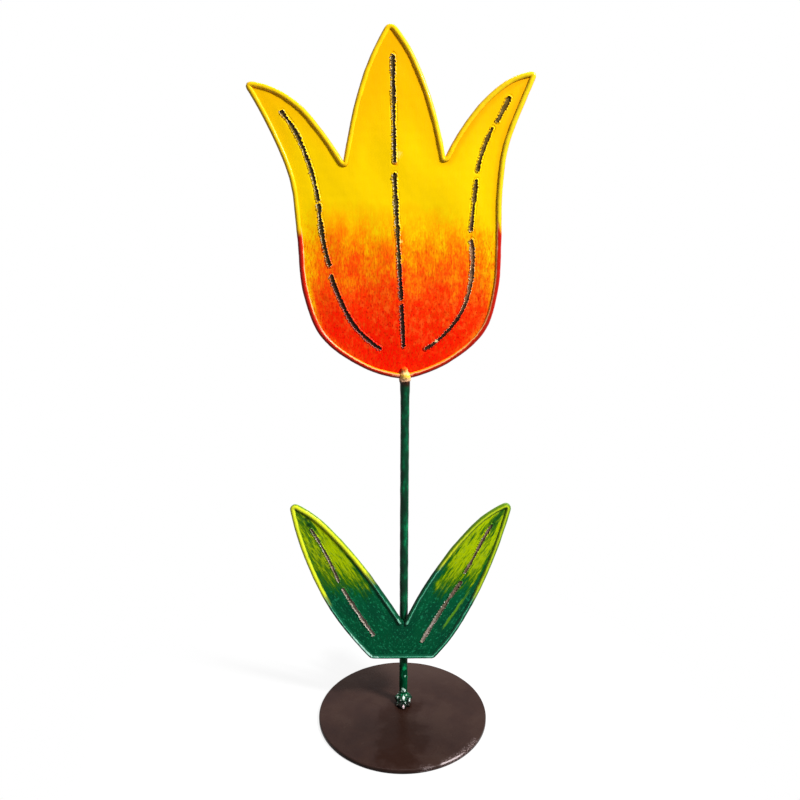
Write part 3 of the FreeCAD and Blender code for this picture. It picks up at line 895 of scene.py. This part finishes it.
def paint_ramp(value, stops):
    """Colours along a value: stops are (place, screen colour) in rising order."""
    node = add_node("ValToRGB", {0: value})
    marks = node.color_ramp.elements
    while len(marks) < len(stops):
        marks.new(0.5)
    for mark, (spot, code) in zip(marks, stops):
        mark.position = spot
        mark.color = screen_colour(code)
    return node.outputs[0]


def dab(place, middle, reach, frayed, most=1.0):
    """The share of a single dab of paint about a point: most inside, 0 beyond reach (x, y, z), with an
    edge frayed by noise."""
    away = vector_sum("SUBTRACT", place, middle)
    scaled = vector_sum("MULTIPLY", away, tuple(1 / r for r in reach))
    far = vector_sum("LENGTH", scaled, output="Value")
    return span(shifted(far, frayed, FRAY), 0.55, 1.0, most, 0.0)


def add_dabs(colour, place, frayed, dabs, within=None):
    """A colour with dabs on it, each a middle, a reach, a share and a colour, perhaps only within a
    share."""
    for middle, reach, most, code in dabs:
        share = dab(place, middle, reach, frayed, most)
        colour = mix(product(share, within) if within else share, colour, code)
    return colour


print("the flower's red as light", screen_colour("FF1000"))

# %% [markdown]
# ## Finishes
# Each finish starts from a roughness and a low gloss, because the white surroundings would lay a grey
# veil on strong colours. Brush marks and lumps too small for the mesh are a bump.

# %% Finishes
def new_finish(name, roughness, specular):
    """A material and the object's own place in its tree."""
    finish = bpy.data.materials.new(name)
    finish.use_nodes = True
    surface = finish.node_tree.nodes["Principled BSDF"]
    surface.inputs["Roughness"].default_value = roughness
    surface.inputs["Specular IOR Level"].default_value = specular
    return finish, add_node("TexCoord", tree=finish.node_tree).outputs["Object"]


def lay_on(finish, colour, height, depth, roughness=None):
    """Joins a colour, a relief of the given depth in metres, and perhaps a roughness, to the surface."""
    tree = finish.node_tree
    surface = tree.nodes["Principled BSDF"]
    tree.links.new(colour, surface.inputs["Base Color"])
    bump = add_node("Bump", {"Strength": 1.0, "Distance": depth, "Height": height})
    tree.links.new(bump.outputs[0], surface.inputs["Normal"])
    if roughness is not None:
        tree.links.new(roughness, surface.inputs["Roughness"])
    print(finish.name, "has", len(tree.nodes), "nodes")


def paint_on(finish, *pieces):
    """Gives the pieces their finish."""
    for piece in pieces:
        piece.data.materials.append(finish)


# %% [markdown]
# ## Less red near the wire
# Near the wire the brush left less red, so there the value that picks the colour goes up. It does so in
# three bands one above the other. Each band has its own reach from the wire, fades in and out with the
# height, and the middle one is weaker on the right.

# %% Less red near the wire
WIRE_BANDS = ((0.0125, 0.15, (0.16, 0.30, 0.1, 1.0), (0.26, 0.40, 1.0, 0.5)),
              (0.0055, 0.17, (0.06, 0.14, 0.3, 1.0), (0.22, 0.34, 1.0, 0.0)),
              (0.0060, 0.07, (0.0, 0.04, 0.6, 1.0), (0.07, 0.17, 1.0, 0.0)))


def raised_near_wire(value, level, rim, x):
    """A value that goes up near the wire. A band is its reach, its most, and how it rises and falls."""
    for number, (reach, most, rise, fall) in enumerate(WIRE_BANDS):
        near = product(span(rim, 0.0015, reach, most, 0.0), span(level, *rise),
                       span(level, *fall))
        if number == 1:
            near = product(near, span(x, 0.0, 0.03, 1.0, 0.35))
        value = sum_of("ADD", value, near)
    return value


# %% [markdown]
# ## Flower paint
# The petals were painted yellow and then dry-brushed with orange and red from the base upwards. So one
# value runs from 0 at the base to 1 at the tips and picks a colour. Before that, upright streaks and soft
# patches push it up and down, strongly where the colours meet and hardly at all in the plain yellow. The
# base has orange and dark red specks, the yellow is darkened by painted shade in the crease beside the
# wire on the right, and a few single dabs are where the photo has them, one of them a dot of painted shade.

# %% Flower paint
FLOWER_TOP = 394 * MM
# The third dab, nearly black at the right notch, is painted shade of the small gap in the wire's bend.
FLOWER_DABS = (((-0.0042, 0.007, 0.3248), (0.0016, 0.02, 0.0018), 0.7, "F07800"),
               ((-0.0030, 0.007, 0.3290), (0.0030, 0.02, 0.0022), 0.5, "FFE468"),
               ((0.0226, 0.007, 0.3312), (0.0009, 0.02, 0.0011), 1.0, "1C1004"),
               ((-0.0012, 0.007, 0.2835), (0.0010, 0.02, 0.0010), 0.8, "FFE070"))


def flower_colour(place):
    """The petals' colour at a place, and the upright streaks, coarse and fine, that made it."""
    x, _, z = axes_of(place)
    rim, level = read_value(place, "rim"), span(z, FLOWER_BASE, FLOWER_TOP, smooth=False)
    streaks = specks(place, (1000, 1000, 190), 3.0, 0.6)
    fine = specks(place, (1900, 1900, 620), 2.0, 0.6)
    patches = specks(place, (110, 110, 75), 2.0, 0.5)
    blotch = specks(place, (520, 520, 300), 3.0, 0.6)
    swing = span(level, 0.40, 0.52, 0.20, 0.02)
    value = raised_near_wire(add_scaled(x, 0.45, level), level, rim, x)
    for noise, strength in ((streaks, swing), (fine, swing),
                            (patches, span(level, 0.38, 0.56, 0.28, 0.05)),
                            (blotch, span(level, 0.32, 0.46, 0.30, 0.0))):
        value = shifted(value, noise, strength)
    colour = paint_ramp(value, (
        (0.00, "FF1000"), (0.14, "FF2000"), (0.22, "FF3A04"), (0.29, "FF5A06"), (0.35, "FE7C02"),
        (0.41, "FC9A00"), (0.46, "F8B600"), (0.51, "F6CC00"), (0.66, "F6CA00"), (0.82, "F6BC00"),
        (1.0, "F6B000")))
    strokes = span(specks(place, (1500, 1500, 330), 2.0, 0.6), 0.49, 0.64, 0.0, 0.55)
    colour = mix(product(span(level, 0.37, 0.46, 1.0, 0.0), strokes), colour, "D04000")
    low = span(level, 0.20, 0.36, 1.0, 0.0)
    light = product(span(blotch, 0.48, 0.68, 0.0, 0.45), low, span(level, 0.02, 0.16, 0.3, 1.0),
                    span(x, -0.05, -0.02, 0.25, 1.0))
    colour = mix(light, colour, "FF6420")
    mottle = span(specks(place, (1050, 1050, 700), 2.0, 0.6), 0.54, 0.68, 0.0, 0.75)
    colour = mix(product(mottle, low), colour, "C80400")
    # Painted shade: the yellow turns darker golden in the crease beside the wire on the right.
    painted_crease_shade = product(span(rim, 0.0016, 0.0050, 0.5, 0.0), span(x, 0.005, 0.03),
                     span(level, 0.40, 0.48))
    colour = mix(painted_crease_shade, colour, "DC9400")
    return add_dabs(colour, place, fine, FLOWER_DABS), streaks, fine


flower_paint, place = new_finish("flower_paint", 0.42, 0.04)
colour, streaks, fine = flower_colour(place)
strokes = sum_of("ADD", streaks, product(fine, 0.5))
lay_on(flower_paint, colour, strokes, 0.00003, span(streaks, 0.3, 0.7, 0.36, 0.55))
paint_on(flower_paint, flower_sheet)

# %% [markdown]
# ## Burnt cuts
# On a vein cut the paint runs over the lips, and inside it the steel is burnt dark olive and brown, with a
# redder and darker tone low in the flower and a calmer olive high on its right. The mesh carries how
# burnt each point is, and a fine noise frays the border. On the lips, bright spots are painted highlights
# that stand for light glinting off the melted steel, a little pink low on the left.

# %% Burnt cuts
CALM_STEEL = ("5E4818", "7E6630")
PAINTED_GLINT_PINK = "FFD4C8"


def burnt_finish(name, colour_of, left, right, low, low_heights, low_plenty, glint_colour, rare, glints=()):
    """Paint that turns to burnt steel by the mesh's burnt value, from the left pair of colours to the
    right pair, with bright spots of painted highlight on the lips.

    low is the pair near the sheet's lower end, low_heights the two heights between which it fades out,
    and low_plenty how much more plentiful the spots are there. rare is how high the noise must be for a
    spot, so a larger value gives fewer. Spots are few high on the right. A glint is a larger painted
    highlight, with a point and a reach. The highlights take the given bright colour."""
    finish, place = new_finish(name, 0.3, 0.08)
    colour = colour_of(place)[0]
    x, _, z = axes_of(place)
    grain = specks(place, (1400, 1400, 1400), 3.0, 0.65)
    cloud = span(specks(place, (500, 500, 500)), 0.4, 0.65)
    side = span(x, 0.012, 0.034)
    calm = product(side, span(z, 0.28, 0.31))
    depth = span(add_scaled(side, 0.018, z), *low_heights, 1.0, 0.0)
    steel = mix(side, mix(cloud, *left), mix(cloud, *right))
    steel = mix(calm, steel, mix(cloud, *CALM_STEEL))
    steel = mix(depth, steel, mix(cloud, *low))
    frayed = shifted(read_value(place, "burnt"), grain, 0.9)
    colour = mix(span(frayed, 0.42, 0.62), colour, steel)
    plenty = add_scaled(depth, low_plenty, specks(place, (1050, 1050, 800), 1.0))
    plenty = add_scaled(calm, -0.25, plenty)
    lip = add_scaled(depth, -0.2, read_value(place, "lip"))
    # Painted highlight: bright spots on the lips stand for light glinting off the melted steel, more
    # plentiful low down, fewer high on the right, and pink low on the left.
    painted_glints = product(span(lip, 0.6, 0.9), span(plenty, rare, rare + 0.06))
    pink = product(depth, span(x, 0.0, 0.01, 1.0, 0.0))
    colour = mix(painted_glints, colour, mix(pink, glint_colour, PAINTED_GLINT_PINK))
    # Each glint is a larger dab of painted highlight.
    colour = add_dabs(colour, place, grain, [(middle, (reach, 0.02, reach), 1.0, glint_colour)
                                             for middle, reach in glints])
    lay_on(finish, colour, grain, 0.00012)
    return finish


# The pale colour and the glint near the end of the lower right cut are painted highlights.
paint_on(burnt_finish("flower_cut_paint", flower_colour, ("3E2E16", "605028"), ("6A4A34", "946C4C"),
                      ("2A120A", "3E2616"), (0.258, 0.278), 0.20, "FFECB4", 0.505,
                      (((0.0190, 0.007, 0.2289), 0.0010),)), flower_cuts)

# %% [markdown]
# ## Along a leaf
# The leaves were brushed along their length. The strokes need a direction that leans out on each side, so
# the pattern reads the distance from the stem's plane as well as the height: lines of equal (height x
# lean - distance) run along a leaf.

# %% Along a leaf
LEAF_UP, LEAF_OUT = 0.84, 0.54


def along_leaf(place):
    """The place turned so that its Z runs along a leaf and its X across it, and that X alone."""
    x, y, z = axes_of(place)
    out = sum_of("ABSOLUTE", x)
    along = add_scaled(z, LEAF_UP, product(out, LEAF_OUT))
    aside = add_scaled(z, -LEAF_OUT, product(out, LEAF_UP))
    return add_node("CombineXYZ", {0: aside, 1: y, 2: along}).outputs[0], aside


print("a leaf's strokes lean out by", math.degrees(math.atan2(LEAF_OUT, LEAF_UP)), "degrees")

# %% [markdown]
# ## Leaf paint
# The leaves are lime at the tips and deep green at the base. Near the wire the colour goes deeper green,
# partly painted shade in the crease and partly lime that the brush did not reach. Thin dark hairs run
# through the lime, and on the left leaf its outer half is darker and its tip has two dark spots. In the
# deep green fine light specks show where the brush skipped, and one lime stroke lies on the right leaf.

# %% Leaf paint
LEAF_TOP = 134.5 * MM
TIP_SPOTS = (((-0.0564, 0.003, 0.1247), (0.0012, 0.02, 0.0012), 0.8, "0C3010"),
             ((-0.0551, 0.003, 0.1209), (0.0016, 0.02, 0.0016), 0.8, "0C3010"))


def leaf_colour(place):
    """The leaves' colour at a place, and the strokes, coarse and fine, that made it."""
    x, _, z = axes_of(place)
    leaf_place, aside = along_leaf(place)
    streaks = specks(leaf_place, (900, 900, 110), 3.0, 0.65)
    fine = specks(leaf_place, (1300, 1300, 300), 2.0, 0.6)
    patches = specks(leaf_place, (130, 130, 60), 2.0)
    level = span(z, LEAF_BASE, LEAF_TOP, smooth=False)
    # Painted shade and unpainted edge: near the wire the value drops towards deep green.
    value = sum_of("SUBTRACT", level, span(read_value(place, "rim"), 0.0018, 0.0046, 0.16, 0.0))
    for noise, strength in ((streaks, span(level, 0.30, 0.50, 0.10, 0.60)), (fine, 0.16), (patches, 0.20)):
        value = shifted(value, noise, strength)
    colour = paint_ramp(value, (
        (0.0, "004E30"), (0.38, "005834"), (0.43, "065C1C"), (0.48, "2E6E0A"), (0.53, "6C9402"),
        (0.60, "AAC400"), (0.74, "BAD400"), (0.79, "7CA004"), (0.85, "2C6410"), (1.0, "0C4418")))
    hairs = specks(leaf_place, (1500, 1500, 190), 2.0, 0.6)
    thin = product(span(hairs, 0.52, 0.66, 0.0, 0.6), span(level, 0.4, 0.5))
    colour = mix(thin, colour, "427C08")
    shade = product(span(hairs, 0.42, 0.58, 0.1, 0.8), span(level, 0.42, 0.5),
                    span(x, -0.001, 0.001, 1.0, 0.0), span(aside, -0.0190, -0.0160))
    colour = add_dabs(mix(shade, colour, "3E6E0C"), place, streaks, TIP_SPOTS)
    low = span(level, 0.38, 0.5, 1.0, 0.15)
    colour = mix(product(span(patches, 0.44, 0.60, 0.0, 0.6), low), colour, "003E2A")
    specked = specks(leaf_place, (900, 900, 620), 3.0, 0.65)
    colour = mix(product(span(specked, 0.54, 0.68, 0.0, 0.9), low), colour, "1E8A5E")
    lime = product(dab(leaf_place, (-0.0094, 0.003, 0.0725), (0.0010, 0.02, 0.016), streaks, 0.75),
                   span(x, -0.001, 0.001))
    return mix(lime, colour, "6CA814"), streaks, fine


leaf_paint, place = new_finish("leaf_paint", 0.30, 0.06)
colour, streaks, fine = leaf_colour(place)
lay_on(leaf_paint, colour, sum_of("ADD", streaks, fine), 0.00008, span(fine, 0.3, 0.7, 0.26, 0.48))
paint_on(leaf_paint, leaf_sheet)
# On the leaves' cuts the pale mint colour is that of the painted highlights on the lips.
paint_on(burnt_finish("leaf_cut_paint", leaf_colour, ("807060", "A29284"), ("685646", "8C7462"),
                      ("9A8A7E", "BCAEA6"), (0.062, 0.075), 0.03, "E6FFF0", 0.60), leaf_cuts)

# %% [markdown]
# ## Rim paint
# The wire is yellow or lime above and red or green below, where the last coat went on from outside. So
# the outer half of the wire takes the dark colour first, by the mesh's outer value, and the change along
# the wire is frayed by streaks. Above the change the crest is painted lighter than the sides, a painted
# highlight with painted shade on the sides. Single pale marks on the crest are painted highlights.

# %% Rim paint
def rim_finish(name, levels, tilt, spread, upper, crest, lower, cover, marks):
    """Glossy wire paint that changes colour at a level.

    levels are its heights on the left and on the right. tilt lowers it further out, and spread is how far
    it wanders. Above it the wire has the first colour of upper and its crest the second, or far on the
    right the third. The crest fades between the first two shares of the width in crest, less the third on
    the right. Below it the colour runs through lower, from the wire's inner side to its outer side. The
    two values of cover move that, on the right and at the bottom. marks are dabs on the crest."""
    finish, place = new_finish(name, 0.2, 0.12)
    x, _, z = axes_of(place)
    streaks = specks(place, (700, 700, 160), 3.0, 0.6)
    patches = specks(place, (160, 160, 110), 2.0)
    outer, right = read_value(place, "outer"), span(x, -0.01, 0.01)
    out = sum_of("SUBTRACT", sum_of("ABSOLUTE", x), 0.045)
    height = add_scaled(out, add_scaled(right, 0.7 * tilt, tilt), z)
    height = add_scaled(product(outer, right), 0.0035, height)
    height = shifted(height, patches, 2 * spread)
    height = add_scaled(right, levels[0] - levels[1], height)
    below = span(height, levels[0] - spread, levels[0] + spread, 1.0, 0.0)
    frayed = shifted(sum_of("ABSOLUTE", outer), streaks, 0.6)
    # Painted highlight and shade: above the change the crest is lighter and the sides darker.
    top = mix(span(x, 0.025, 0.045), upper[1], upper[2])
    aside = add_scaled(right, crest[2], frayed)
    high = mix(span(aside, *crest[:2], 1.0, 0.0), upper[0], top)
    turned = sum_of("ADD", outer, span(x, 0.0, 0.05, 0.0, cover[0]))
    turned = sum_of("ADD", turned, span(z, 0.213, 0.232, cover[1], 0.0))
    low = paint_ramp(span(shifted(turned, streaks, 0.7), -1.0, 1.0, smooth=False), lower)
    # The marks, dabs of painted highlight, are kept to the crest.
    ridge = span(frayed, 0.12, 0.45, 1.0, 0.0)
    colour = add_dabs(mix(below, high, low), place, streaks, marks, ridge)
    relief = sum_of("ADD", patches, product(streaks, 0.5))
    lay_on(finish, colour, relief, 0.00010, span(streaks, 0.3, 0.7, 0.14, 0.34))
    return finish


# %% [markdown]
# ## Both rims
# The flower's wire changes from yellow to red a little above the cup, and the leaves' from lime to green
# near the notch. The pale marks on the crest are painted highlights, and so are the peach stops in the
# flower's lower colours and the mint stop in the leaves'.

# %% Both rims
paint_on(rim_finish(
    "flower_rim_paint", (0.2885, 0.2925), 0.0, 0.0035, ("D88C00", "F4C408", "E6C214"), (0.55, 1.0, 0.0),
    # The peach stops here are a painted highlight on the crest.
    ((0.0, "F09810"), (0.06, "FFB88C"), (0.12, "FFAC70"), (0.18, "CC2400"), (0.5, "AE1200"), (1.0, "B01010")),
    (-0.34, -0.40), (((-0.0005, 0.004, 0.2085), (0.007, 0.01, 0.004), 0.35, "FFC890"),)),
    flower_rim, flower_tacks)
paint_on(rim_finish(
    "leaf_rim_paint", (0.0745, 0.0745), 0.55, 0.006, ("5C8014", "E4EC2C", "C4DC20"), (0.45, 1.0, 0.40),
    # The mint stop here is a painted highlight on the crest.
    ((0.0, "003C26"), (0.36, "005A3C"), (0.46, "6CD4AC"), (0.55, "0A7048"), (0.7, "005030"), (1.0, "003420")),
    (0.0, 0.0),
    # Pale mint marks: painted highlights on the crest.
    (((-0.0012, 0.001, 0.0600), (0.0022, 0.01, 0.0026), 0.9, "A8F0D4"),
     ((0.0030, 0.001, 0.0592), (0.0018, 0.01, 0.0020), 0.7, "80D8B4"),
     ((-0.0250, 0.002, 0.0447), (0.013, 0.01, 0.013), 1.0, "C4FCE8"),
     ((-0.0075, 0.002, 0.0700), (0.008, 0.01, 0.008), 0.45, "6CD4A8"),
     ((0.0165, 0.002, 0.0378), (0.003, 0.01, 0.003), 0.6, "9CECD0"))),
    leaf_rim, leaf_tacks)

# %% [markdown]
# ## Stem paint
# The stem is glossy deep green with dabs of a lighter green. At its top the paint is scorched dark by the
# weld, and low in front a brighter green dab and a few pale painted highlights sit on it.

# %% Stem paint
stem_paint, place = new_finish("stem_paint", 0.2, 0.10)
dabs = specks(place, (330, 330, 130), 3.0, 0.6)
colour = paint_ramp(dabs, ((0.3, "002C1A"), (0.48, "003E24"), (0.6, "005634"), (0.72, "0E8450")))
scorch = span(add_scaled(dabs, 0.006, axes_of(place)[2]), 0.2045, 0.2075)
colour = mix(scorch, colour, "241206")
# A brighter green dab, then pale painted highlights low on the stem's front.
STEM_DAB_AND_GLINTS = ((0.0012, 0.0272, 0.0017, 0.8, "0C9A5C"), (0.0018, 0.0218, 0.0008, 0.7, "9CE0C4"),
         (0.0003, 0.0132, 0.0011, 0.9, "C8F4E2"), (0.0014, 0.0118, 0.0009, 0.9, "E4FCF4"),
         (-0.0006, 0.0115, 0.0008, 0.9, "D8F8EC"))
stem_dab_and_glints = [((side, 0.0048, height), (reach * 0.9, 0.0012, reach), most, code)
         for side, height, reach, most, code in STEM_DAB_AND_GLINTS]
colour = add_dabs(colour, place, specks(place, (1500, 1500, 900), 2.0, 0.6), stem_dab_and_glints)
lay_on(stem_paint, colour, dabs, 0.00018, span(dabs, 0.35, 0.65, 0.14, 0.32))
paint_on(stem_paint, stem, notch_bead, back_beads)

# %% [markdown]
# ## Head bead paint
# The head bead was painted from both sides, so its colours change with the height: the stem's green, a
# band of burnt steel, then pale orange, yellow and the flower's orange. Noise frays each change.

# %% Head bead paint
def paint_up(place, noise, wobble, low, high, stops):
    """Colours that change with the height from low to high, frayed by noise."""
    level = shifted(axes_of(place)[2], noise, wobble)
    return paint_ramp(span(level, low, high, smooth=False), stops)


flower_weld_paint, place = new_finish("flower_weld_paint", 0.25, 0.12)
noise = specks(place, (420, 420, 420), 3.0, 0.6)
colour = paint_up(place, noise, 0.004, 0.199, 0.213, (
    (0.0, "02482A"), (0.14, "0C3420"), (0.24, "2A1408"), (0.48, "3A1C0C"), (0.54, "F8BC94"), (0.62, "FFD080"),
    (0.72, "FFC834"), (0.84, "FFD08C"), (0.95, "FF9C48"), (1.0, "FF5A10")))
colour = add_dabs(colour, place, noise, (
    ((-0.0016, 0.005, 0.2118), (0.0014, 0.005, 0.0014), 0.85, "D82410"),
    ((0.0018, 0.004, 0.2078), (0.0007, 0.005, 0.0007), 0.85, "B07808")))
lay_on(flower_weld_paint, colour, noise, 0.00025)
paint_on(flower_weld_paint, head_bead)

# %% [markdown]
# ## Foot bead paint
# The foot bead is green over the foot's brown, with dark flecks, pale flecks of painted highlight, and
# pale bits of painted highlight where its lumps catch the light.

# %% Foot bead paint
foot_weld_paint, place = new_finish("foot_weld_paint", 0.14, 0.14)
noise = specks(place, (380, 380, 300), 3.0, 0.6)
colour = paint_up(place, noise, 0.006, 0.0025, 0.0095, (
    (0.0, "1A100C"), (0.24, "22150F"), (0.34, "042014"), (0.6, "003A24"), (0.85, "00502F"), (1.0, "087048")))
flecks = specks(place, (430, 430, 300), 1.5, 0.6)
# Pale flecks: painted highlights on the lumps.
colour = mix(span(flecks, 0.62, 0.65, 0.0, 0.95), colour, "E4F4EC")
colour = mix(span(flecks, 0.38, 0.48, 0.9, 0.0), colour, "04100A")
# Pale bits of painted highlight, one pink low in front.
PALE_BITS = ((0.0006, 0.0086, 0.0013, "ECFCF4"), (0.0007, 0.0040, 0.0009, "F8DCE0"),
             (0.0044, 0.0090, 0.0009, "E4F8EE"), (0.0048, 0.0056, 0.0009, "E4F8EE"),
             (-0.0044, 0.0080, 0.0010, "CCE8DC"), (-0.0030, 0.0050, 0.0007, "CCE8DC"))
pale_bits = [((side, 0.0, height), (reach * 0.8, 0.006, reach * 1.3), 0.95, code)
             for side, height, reach, code in PALE_BITS]
lay_on(foot_weld_paint, add_dabs(colour, place, noise, pale_bits), noise, 0.00045)
paint_on(foot_weld_paint, foot_bead)

# %% [markdown]
# ## Foot paint
# The foot is a thick dark brown with the fine dimples of sprayed paint and a low gloss. A darker patch
# before the stem is a painted reflection of the stem and leaves, and the paler back is a painted sheen. On
# the front edge, to the right, a thin pale line is a painted highlight and pale specks beside it are
# painted reflections.

# %% Foot paint
base_paint, place = new_finish("base_paint", 0.22, 0.05)
_, y, z = axes_of(place)
dimples = specks(place, (900, 900, 900), 2.0, 0.5)
clouds = specks(place, (60, 60, 60), 3.0, 0.55)
flat_place = add_node("Mapping", {"Vector": place, "Scale": (1, 1, 0)}).outputs[0]
radius = vector_sum("LENGTH", flat_place, output="Value")
colour = paint_ramp(clouds, ((0.35, "2E1F1C"), (0.5, "32221E"), (0.65, "362621")))
# Painted reflection: a darker patch before the stem.
colour = add_dabs(colour, place, clouds, (((0.0005, -0.020, 0.0025), (0.016, 0.040, 0.02), 0.8, "26140E"),))
# Painted sheen: the back is paler.
colour = mix(span(y, 0.015, 0.05, 0.0, 0.9), colour, "40302B")
# Painted reflections: pale specks along the front edge, to the right.
edge_reflections = product(dab(place, (0.030, -0.037, 0.002), (0.026, 0.026, 0.01), clouds),
                 span(radius, 0.0470, 0.0502, 0.0, 0.5),
                 span(specks(place, (1500, 1500, 900), 1.0), 0.48, 0.62))
# Painted highlight: a thin pale line on the front edge's rounding.
line = product(dab(place, (0.0260, -0.043, 0.002), (0.014, 0.012, 0.01), clouds, 0.45),
               span(radius, 0.0502, 0.0505), span(z, 0.0018, 0.0021))
colour = mix(line, mix(edge_reflections, colour, "A4908F"), "F4E2E4")
lay_on(base_paint, colour, dimples, 0.00005, span(clouds, 0.35, 0.65, 0.24, 0.28))
paint_on(base_paint, foot_disc)

# %% [markdown]
# ## Floor
# The picture has a plain white ground. The floor is white paper that keeps the shadow near the foot and
# turns to plain white further off. The camera, gloss and glass see it at full white, and soft light gets
# less of it, so that it does not bleach the paint.

# %% Floor
FLOOR_HALF = 3


def plainly_seen(tree):
    """1 for rays from the camera, off gloss or through glass, and 0 for rays that gather soft light."""
    path = add_node("LightPath", tree=tree).outputs
    mirrored = sum_of("MAXIMUM", path["Is Glossy Ray"], path["Is Transmission Ray"])
    return sum_of("MAXIMUM", path["Is Camera Ray"], mirrored)


floor_mesh = bpy.data.meshes.new("floor")
corners = [(-1, -1), (1, -1), (1, 1), (-1, 1)]
floor_mesh.from_pydata([(x * FLOOR_HALF, y * FLOOR_HALF, 0) for x, y in corners], [], [(0, 1, 2, 3)])
floor = bpy.data.objects.new("floor", floor_mesh)
bpy.context.scene.collection.objects.link(floor)
paper, place = new_finish("paper", 0.9, 0.0)
tree = paper.node_tree
surface = tree.nodes["Principled BSDF"]
surface.inputs["Base Color"].default_value = (0.86, 0.86, 0.86, 1)
white, grey = (add_node("Emission", {"Color": (1, 1, 1, 1), "Strength": strength}, tree).outputs[0]
               for strength in (1.0, 0.17))
far = span(vector_sum("LENGTH", place, output="Value"), 0.07, 0.2)
share = add_scaled(far, 0.16, 0.84)
seen = add_node("MixShader", {0: share, 1: surface.outputs[0], 2: white}).outputs[0]
paper_mix = add_node("MixShader", {0: plainly_seen(tree), 1: grey, 2: seen}).outputs[0]
tree.links.new(paper_mix, tree.nodes["Material Output"].inputs["Surface"])
floor_mesh.materials.append(paper)
print("floor", 2 * FLOOR_HALF, "m wide")

# %% [markdown]
# ## World and lamps
# The light is soft and comes from the upper right in front. One square lamp there gives the thin
# highlights on the wire and the shadow beside it, a weaker one behind lights the back, and the white
# world fills in.

# %% World and lamps
world = bpy.data.worlds.new("white room")
bpy.context.scene.world = world
world.use_nodes = True
background = world.node_tree.nodes["Background"].inputs
strength = span(plainly_seen(world.node_tree), 0.0, 1.0, 0.21, 1.0, smooth=False)
background["Color"].default_value = (1, 1, 1, 1)
world.node_tree.links.new(strength, background["Strength"])


def add_lamp(name, spot, aim, size, power):
    """A square lamp at a spot, turned so that its -Z axis points at aim."""
    lamp = bpy.data.objects.new(name, bpy.data.lights.new(name, "AREA"))
    lamp.data.size = size
    lamp.data.energy = power
    lamp.location = spot
    to_aim = np.array(aim) - np.array(spot)
    flat = math.hypot(to_aim[0], to_aim[1])
    lamp.rotation_euler = (math.atan2(flat, -to_aim[2]), 0, math.atan2(-to_aim[0], to_aim[1]))
    bpy.context.scene.collection.objects.link(lamp)


add_lamp("key lamp", (0.72, -0.46, 0.92), (0, 0, 0.24), 0.18, 22.5)
add_lamp("back lamp", (0.1, 0.6, 1.4), (0, 0, 0.20), 0.60, 12.0)

# %% [markdown]
# ## Finish
# The picture is shown with the plain view transform, so paint looks as it was written.

# %% Finish
bpy.context.scene.view_settings.view_transform = "Standard"
